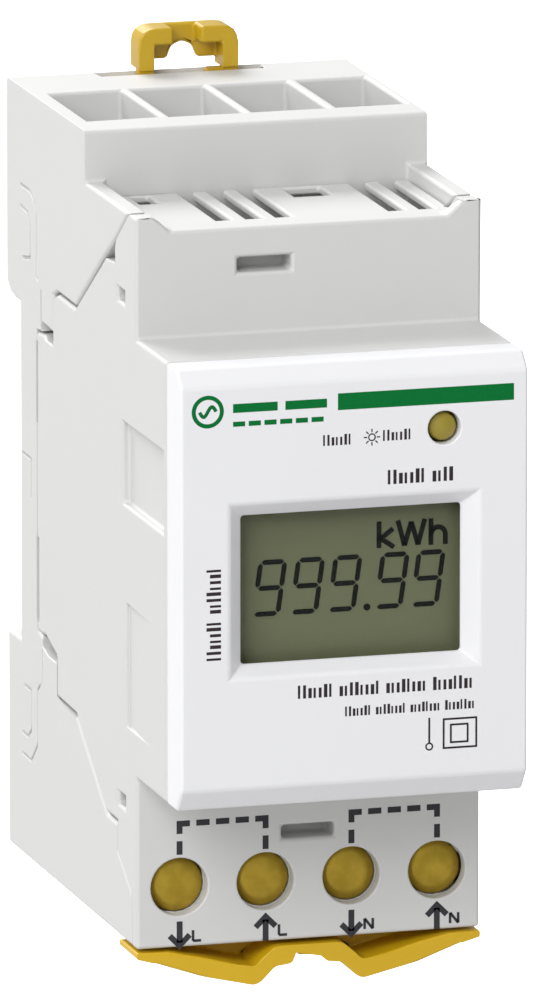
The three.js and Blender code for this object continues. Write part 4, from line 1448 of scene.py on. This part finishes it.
@dataclass
class Electronics:
    """Everything on the two boards, and the boards themselves."""

    board_face: float = -11.0
    solder_side: float = -12.6
    solder_height: float = 0.7
    pin_pitch: float = 2.54
    pin_half: float = 0.33

    def build(self) -> None:
        """Dresses the boards, then every part on them."""
        for shell in (
            MouldedShell("display_board", "display_board_panel", DISPLAY_MASK, radius=0.12),
            MouldedShell("main_board", "main_board_panel", MAIN_MASK, radius=0.12),
            MouldedShell("film_capacitor", "film_capacitor_case", FILM_BOX, radius=0.7, segments=4),
            MouldedShell("reference_crystal", "reference_crystal_case", CAN, radius=0.7, segments=4),
            MouldedShell("board_link_header", "board_link_body", FRAME_BLACK, radius=0.15),
        ):
            shell.build()
        self._chips()
        CanCapacitor("storage_capacitor", 4.0).build()
        CanCapacitor("filter_capacitor", 3.2).build()
        self._choke()
        self._varistor()
        self._resistor()
        self._clock_crystal()
        self._header_pins()
        self._solder()
        self._small_parts()

    def _chips(self) -> None:
        """Builds the five chips with their leads."""
        for package in (
            ChipPackage("metering_chip", Facing.MAIN, 0.65, 14),
            ChipPackage("supply_chip", Facing.MAIN, 1.27, 4, 0.42),
            ChipPackage("bridge_rectifier", Facing.MAIN, 3.2, 2, 0.9),
            ChipPackage("memory_chip", Facing.DISPLAY, 1.27, 4, 0.42),
            ChipPackage("microcontroller", Facing.DISPLAY, 0.65, 14),
        ):
            package.build_body()
            package.build_leads()
        ChipPackage("microcontroller", Facing.DISPLAY_TURNED, 0.65, 14, label="cross_leads").build_leads()

    def _choke(self) -> None:
        """Dresses the ferrite bobbin and lays the winding round its waist.

        The winding's radius is its core plus 0.6 of a wire times the square root of 1 - t squared,
        where t runs from -1 to 1 over each turn's share of the length.
        """
        MouldedShell("choke", "choke_bobbin", FERRITE, radius=0.25, sharp_angle=40).build()
        core, wire = 2.86, 0.45
        heights = np.linspace(1.0, 7.0, 120)
        share = 2.0 * helix(heights, wire, 32) - 1.0
        radius = core + 0.6 * wire * np.sqrt(1.0 - share ** 2)
        winding = revolved(heights, radius, foot_of("choke", Axis.RIGHT), Axis.RIGHT)
        make_piece("choke_winding", winding, ENAMEL)

    def _varistor(self) -> None:
        """Turns the lacquered disc with a full round rim, and drops two legs to the board."""
        low, high = corners_of("surge_varistor")
        middle, radius, half = (low + high) / 2, (high[0] - low[0]) / 2, (high[2] - low[2]) / 2
        angle = np.linspace(-QUARTER, QUARTER, 15)[1:-1]
        rim = [(radius - half + half * math.cos(a) ** 0.7, half * math.sin(a)) for a in angle]
        disc = turned([(0, -half), *rim, (0, half)], middle, Axis.UP, 64)
        make_piece("varistor_disc", disc, LACQUER, "surge_varistor")
        starts = [middle + (-3.5, side * 2.5, 0.0) for side in (-1, 1)]
        make_piece("varistor_legs", straight_legs(starts, self.solder_side - 0.6, 0.4), TIN)

    def _resistor(self) -> None:
        """Turns the cement-coated body with bulged ends, and bends its two legs to the board."""
        low, high = corners_of("fusible_resistor")
        foot, length = foot_of("fusible_resistor", Axis.UP), high[2] - low[2]
        heights = np.linspace(0, length, 41)
        inwards = np.minimum(heights, length - heights)
        bulge = np.exp(-((inwards - 0.9) / 0.7) ** 2)
        radius = (1.45 + 0.42 * bulge) * np.sqrt(np.clip(inwards / 0.6, 0.05, 1.0))
        body = revolved(heights, np.repeat(radius[:, None], 40, axis=1), foot, Axis.UP)
        make_piece("fusible_resistor_coat", body, CEMENT, "fusible_resistor")
        x, y, z = foot
        legs = [tube([(x, y, end - 0.4 * sign), (x, y, end + 0.7 * sign), (x - 0.7, y, end + 1.4 * sign),
                      (self.solder_side - 0.6, y, end + 1.4 * sign)], 0.3)
                for end, sign in ((z, -1), (z + length, 1))]
        make_piece("fusible_resistor_legs", merged(legs), TIN)

    def _clock_crystal(self) -> None:
        """Turns the small round can with a crimped open end."""
        low, high = corners_of("clock_crystal")
        length, r = high[0] - low[0], (high[2] - low[2]) / 2
        profile = [(0, 0), (0.8 * r, 0), (r, 0.15), (r, length - 1.1), (0.93 * r, length - 0.9),
                   (r, length - 0.7), (r, length - 0.1), (0.85 * r, length), (0, length)]
        surface = turned(profile, foot_of("clock_crystal", Axis.RIGHT), Axis.RIGHT, 32)
        make_piece("clock_crystal_can", surface, CAN, "clock_crystal")

    def _header_pins(self) -> None:
        """Sheathes the header's pins in plated square sleeves with pointed ends."""
        low, high = corners_of("board_link_header")
        half, tip = self.pin_half, -high[1]
        outline = [(-half, tip - 0.05), (-half, tip + 2.7), (half, tip + 2.7), (half, tip - 0.05),
                   (0.6 * half, tip - 0.35), (-0.6 * half, tip - 0.35)]
        levels = (np.arange(8) - 3.5) * self.pin_pitch
        centre = np.array(((low[0] + high[0]) / 2 - 0.05, 0.0, 0.0))
        items = [(outline, level - half, level + half) for level in levels]
        pins = prisms(items, Axis.RIGHT.direction, Axis.FORWARD.direction, centre)
        make_piece("board_link_pins", pins, GOLD, smooth=False)

    def _solder(self) -> None:
        """Sets a small cone of solder on every wire end behind the main board.

        The cone's radius falls from 0.9 mm as the square root of what is left of its height. It is
        turned to the right and then mirrored, so its faces are turned round as well.
        """
        pairs = [(35.0, -14.4, 2.0), (26.5, -14.4, 1.6), (18.0, 0.0, 2.5), (21.0, 11.0, 7.5),
                 (17.5, -12.0, 1.8)]
        spots = [(depth + side * reach, z) for depth, z, reach in pairs for side in (-1, 1)]
        spots += [(9.8, -1.4), (9.8, 10.4), (40.4, -14.0), (40.4, -10.0)]
        heights = np.linspace(0.0, self.solder_height, 7)
        slope = 0.3 + 0.6 * np.sqrt(1 - heights / (self.solder_height + 0.02))
        points, faces = revolved(heights, np.repeat(slope[:, None], 20, axis=1), np.zeros(3), Axis.RIGHT)
        mirrored, inward = points * (-1.0, 1.0, 1.0), [face[::-1] for face in faces]
        cones = [(mirrored + (self.solder_side, -depth, z), inward) for depth, z in spots]
        make_piece("solder_joints", merged(cones), TIN)

    def _small_parts(self) -> None:
        """Places rows of small ceramic parts with tinned ends on both boards."""
        front = corners_of("display_board")[1][1]
        spots = [((self.board_face, -43.2 - 2.2 * row, 3.5 + 2.6 * column), Facing.MAIN)
                 for row in range(2) for column in range(6)]
        spots += [((-1.0 + 3.0 * column, front, 10.5 + 2.2 * row), Facing.DISPLAY)
                  for row in range(4) for column in range(5)]
        bodies, ends = [], []
        for place, facing in spots:
            normal, _, across = facing.axes
            bodies.append(prisms([(rectangle(-0.55, 0.55, 0.02, 0.5), -0.4, 0.4)], across, normal, place))
            caps = [(rectangle(*reach, 0.0, 0.54), -0.43, 0.43) for reach in ((-0.82, -0.5), (0.5, 0.82))]
            ends.append(prisms(caps, across, normal, place))
        make_piece("small_part_bodies", merged(bodies), CERAMIC, smooth=False)
        make_piece("small_part_ends", merged(ends), TIN, smooth=False)


# ------------------------------------------------------------------------------ terminals and display stack


@dataclass
class CurrentPath:
    """Copper bars, shunt, carrier, clamp cages and the two insulated leads."""

    lead_radius: float = 0.6

    def build(self) -> None:
        """Dresses the metal and lays the leads."""
        for node in ("line_in_bar", "line_out_bar", "neutral_bar"):
            MouldedShell(node, f"{node}_stamped", COPPER, radius=0.2).build()
        MouldedShell("current_shunt", "shunt_strip", ALLOY, radius=0.2).build()
        MouldedShell("terminal_carrier", "terminal_comb", CARRIER, radius=0.25).build()
        for index in range(1, 5):
            MouldedShell(f"clamp_cage_{index}", f"cage_{index}_bent", ZINC, f"clamp_{index}",
                         radius=0.55, sharp_angle=50.0, segments=4).build()
        routes = {
            "neutral_lead": [(6, -24.4, -24), (5, -23, -21.5), (0, -22, -20.4), (-7, -22, -20.6),
                             (-10.2, -22, -20.8)],
            "sense_lead": [(-9, -24.4, -25.5), (-9, -22.6, -24), (-9.4, -21.5, -22.2), (-10.2, -20, -20.8)],
        }
        for node, route in routes.items():
            make_piece(f"{node}_wire", tube(route, self.lead_radius), INSULATION, node)


@dataclass
class DisplayStack:
    """What lies behind the panel: frame, light guide, lamps and layered rubber."""

    def build(self) -> None:
        """Dresses every piece."""
        MouldedShell("lcd_holder", "display_frame", FRAME_BLACK, radius=0.3).build()
        MouldedShell("light_guide", "light_guide_block", MILKY, radius=0.35).build()
        MouldedShell("backlight_led", "backlight_lamp", MILKY, radius=0.25).build()
        for node in ("upper_elastomer", "lower_elastomer"):
            MouldedShell(node, f"{node}_strip", RUBBER, radius=0.15).build()
        self._pulse_led()

    def _pulse_led(self) -> None:
        """Turns the round lamp with its flange and domed tip."""
        low, high = corners_of("pulse_led")
        length, flange, body = high[1] - low[1], (high[0] - low[0]) / 2, 1.5
        profile = [(0, 0), (flange, 0), (flange, 0.7), (body, 0.8),
                   *arc(0.0, length - body, body, 0.0, QUARTER, 9)[:-1], (0, length)]
        surface = turned(profile, foot_of("pulse_led", Axis.FORWARD), Axis.FORWARD, 40)
        make_piece("pulse_led_dome", surface, MILKY, "pulse_led")


# ------------------------------------------------------------------------------ room, light, camera


@dataclass
class Studio:
    """A pale floor, soft lights and the camera."""

    camera_place: tuple[float, float, float] = (-0.48412, -1.71234, 0.38596)
    view_direction: tuple[float, float, float] = (0.27012, 0.93870, -0.21416)
    focal_length: float = 638.26
    floor_drop: float = 0.03
    floor_reach: float = 6.0
    light_size: float = 0.9

    def build(self) -> None:
        """Creates the floor, the lights, the world and the camera."""
        self._camera()
        self._floor()
        self._world()
        self._area("back_light", (-0.24, 1.15, 1.08), 21.5)
        self._area("front_light", (-0.95, -1.1, 0.95), 16.5)
        bpy.context.scene.view_settings.view_transform = "Standard"

    def _camera(self) -> None:
        """Aims a long lens along the view direction, upright."""
        data = bpy.data.cameras.new("camera")
        data.lens = self.focal_length
        data.sensor_width = 36.0
        data.clip_start = 0.05
        data.clip_end = 50.0
        camera = bpy.data.objects.new("camera", data)
        camera.location = self.camera_place
        self._aim(camera, Vector(self.view_direction))
        bpy.context.scene.camera = camera

    @staticmethod
    def _aim(thing: bpy.types.Object, direction: Vector) -> None:
        """Turns a camera or light along a direction, upright, and puts it into the scene."""
        thing.rotation_euler = direction.to_track_quat("-Z", "Y").to_euler()
        link(thing)

    def _floor(self) -> None:
        """Lays a wide pale floor under the meter."""
        level, reach = CAD_BOX[0][2] - self.floor_drop, self.floor_reach
        mesh = bpy.data.meshes.new("floor")
        square = rectangle(-reach, reach, -reach, reach)
        mesh.from_pydata([(x, y, level) for x, y in square.tolist()], [], [(0, 1, 2, 3)])
        floor = bpy.data.objects.new("floor", mesh)
        paint = bpy.data.materials.new("floor_paint")
        graph = Graph(paint)
        seen = graph.add("ShaderNodeLightPath", {}, {}, "Is Camera Ray")
        graph.set(
            Base_Color=graph.blend(seen, (0.55, 0.55, 0.55), (0.93, 0.93, 0.93)),
            Roughness=0.9,
            Specular_IOR_Level=0.1,
            Emission_Color=(1.0, 1.0, 1.0),
            Emission_Strength=0.5 * seen,
        )
        mesh.materials.append(paint)
        link(floor)

    def _world(self) -> None:
        """Surrounds the scene with pale light, white at the far left and grey at the far right."""
        world = bpy.data.worlds.new("world")
        graph = Graph(world, "ShaderNodeBackground", "ShaderNodeOutputWorld")
        rightward, _, _ = graph.split(graph.add("ShaderNodeTexCoord", {}, {}, "Generated"))
        graph.set(Color=rightward.ramp(-0.6, 1.0, 1.0, 0.45), Strength=0.8)
        bpy.context.scene.world = world

    def _area(self, name: str, place: tuple[float, float, float], power: float) -> None:
        """Adds a square soft light aimed at the meter.

        Args:
            name: the light's name.
            place: where it stands, in metres.
            power: its power in watts.
        """
        data = bpy.data.lights.new(name, "AREA")
        data.size = self.light_size
        data.energy = power
        light = bpy.data.objects.new(name, data)
        light.location = place
        self._aim(light, -Vector(place))


# ------------------------------------------------------------------------------ assembly


def build_case() -> None:
    """Builds the housings, the cover and the rail clips."""
    MouldedShell("rear_housing", "rear_shell", HOUSING, radius=0.4).build()
    MouldedShell("front_housing", "front_shell", HOUSING, radius=0.4).build()
    MouldedShell("front_cover", "cover_shell", COVER, radius=0.35).build()
    MouldedShell("upper_clip", "pull_clip", PULL_CLIP, Body.UPPER_CLIP, radius=0.35).build()
    MouldedShell("lower_clip", "winged_clip", WING_CLIP_PAINTED_LIGHT, Body.LOWER_CLIP, radius=0.3).build()


def main() -> None:
    """Builds every sub-assembly in order."""
    logging.basicConfig(level=logging.INFO, format="%(name)s: %(message)s")
    Studio().build()
    build_case()
    CoverPrint().build()
    TerminalMarks().build()
    Display().build()
    PulseLamp().build()
    DisplayStack().build()
    Electronics().build()
    CurrentPath().build()
    for index in range(1, 5):
        TerminalScrew(index).build()


if __name__ == "__main__":
    main()
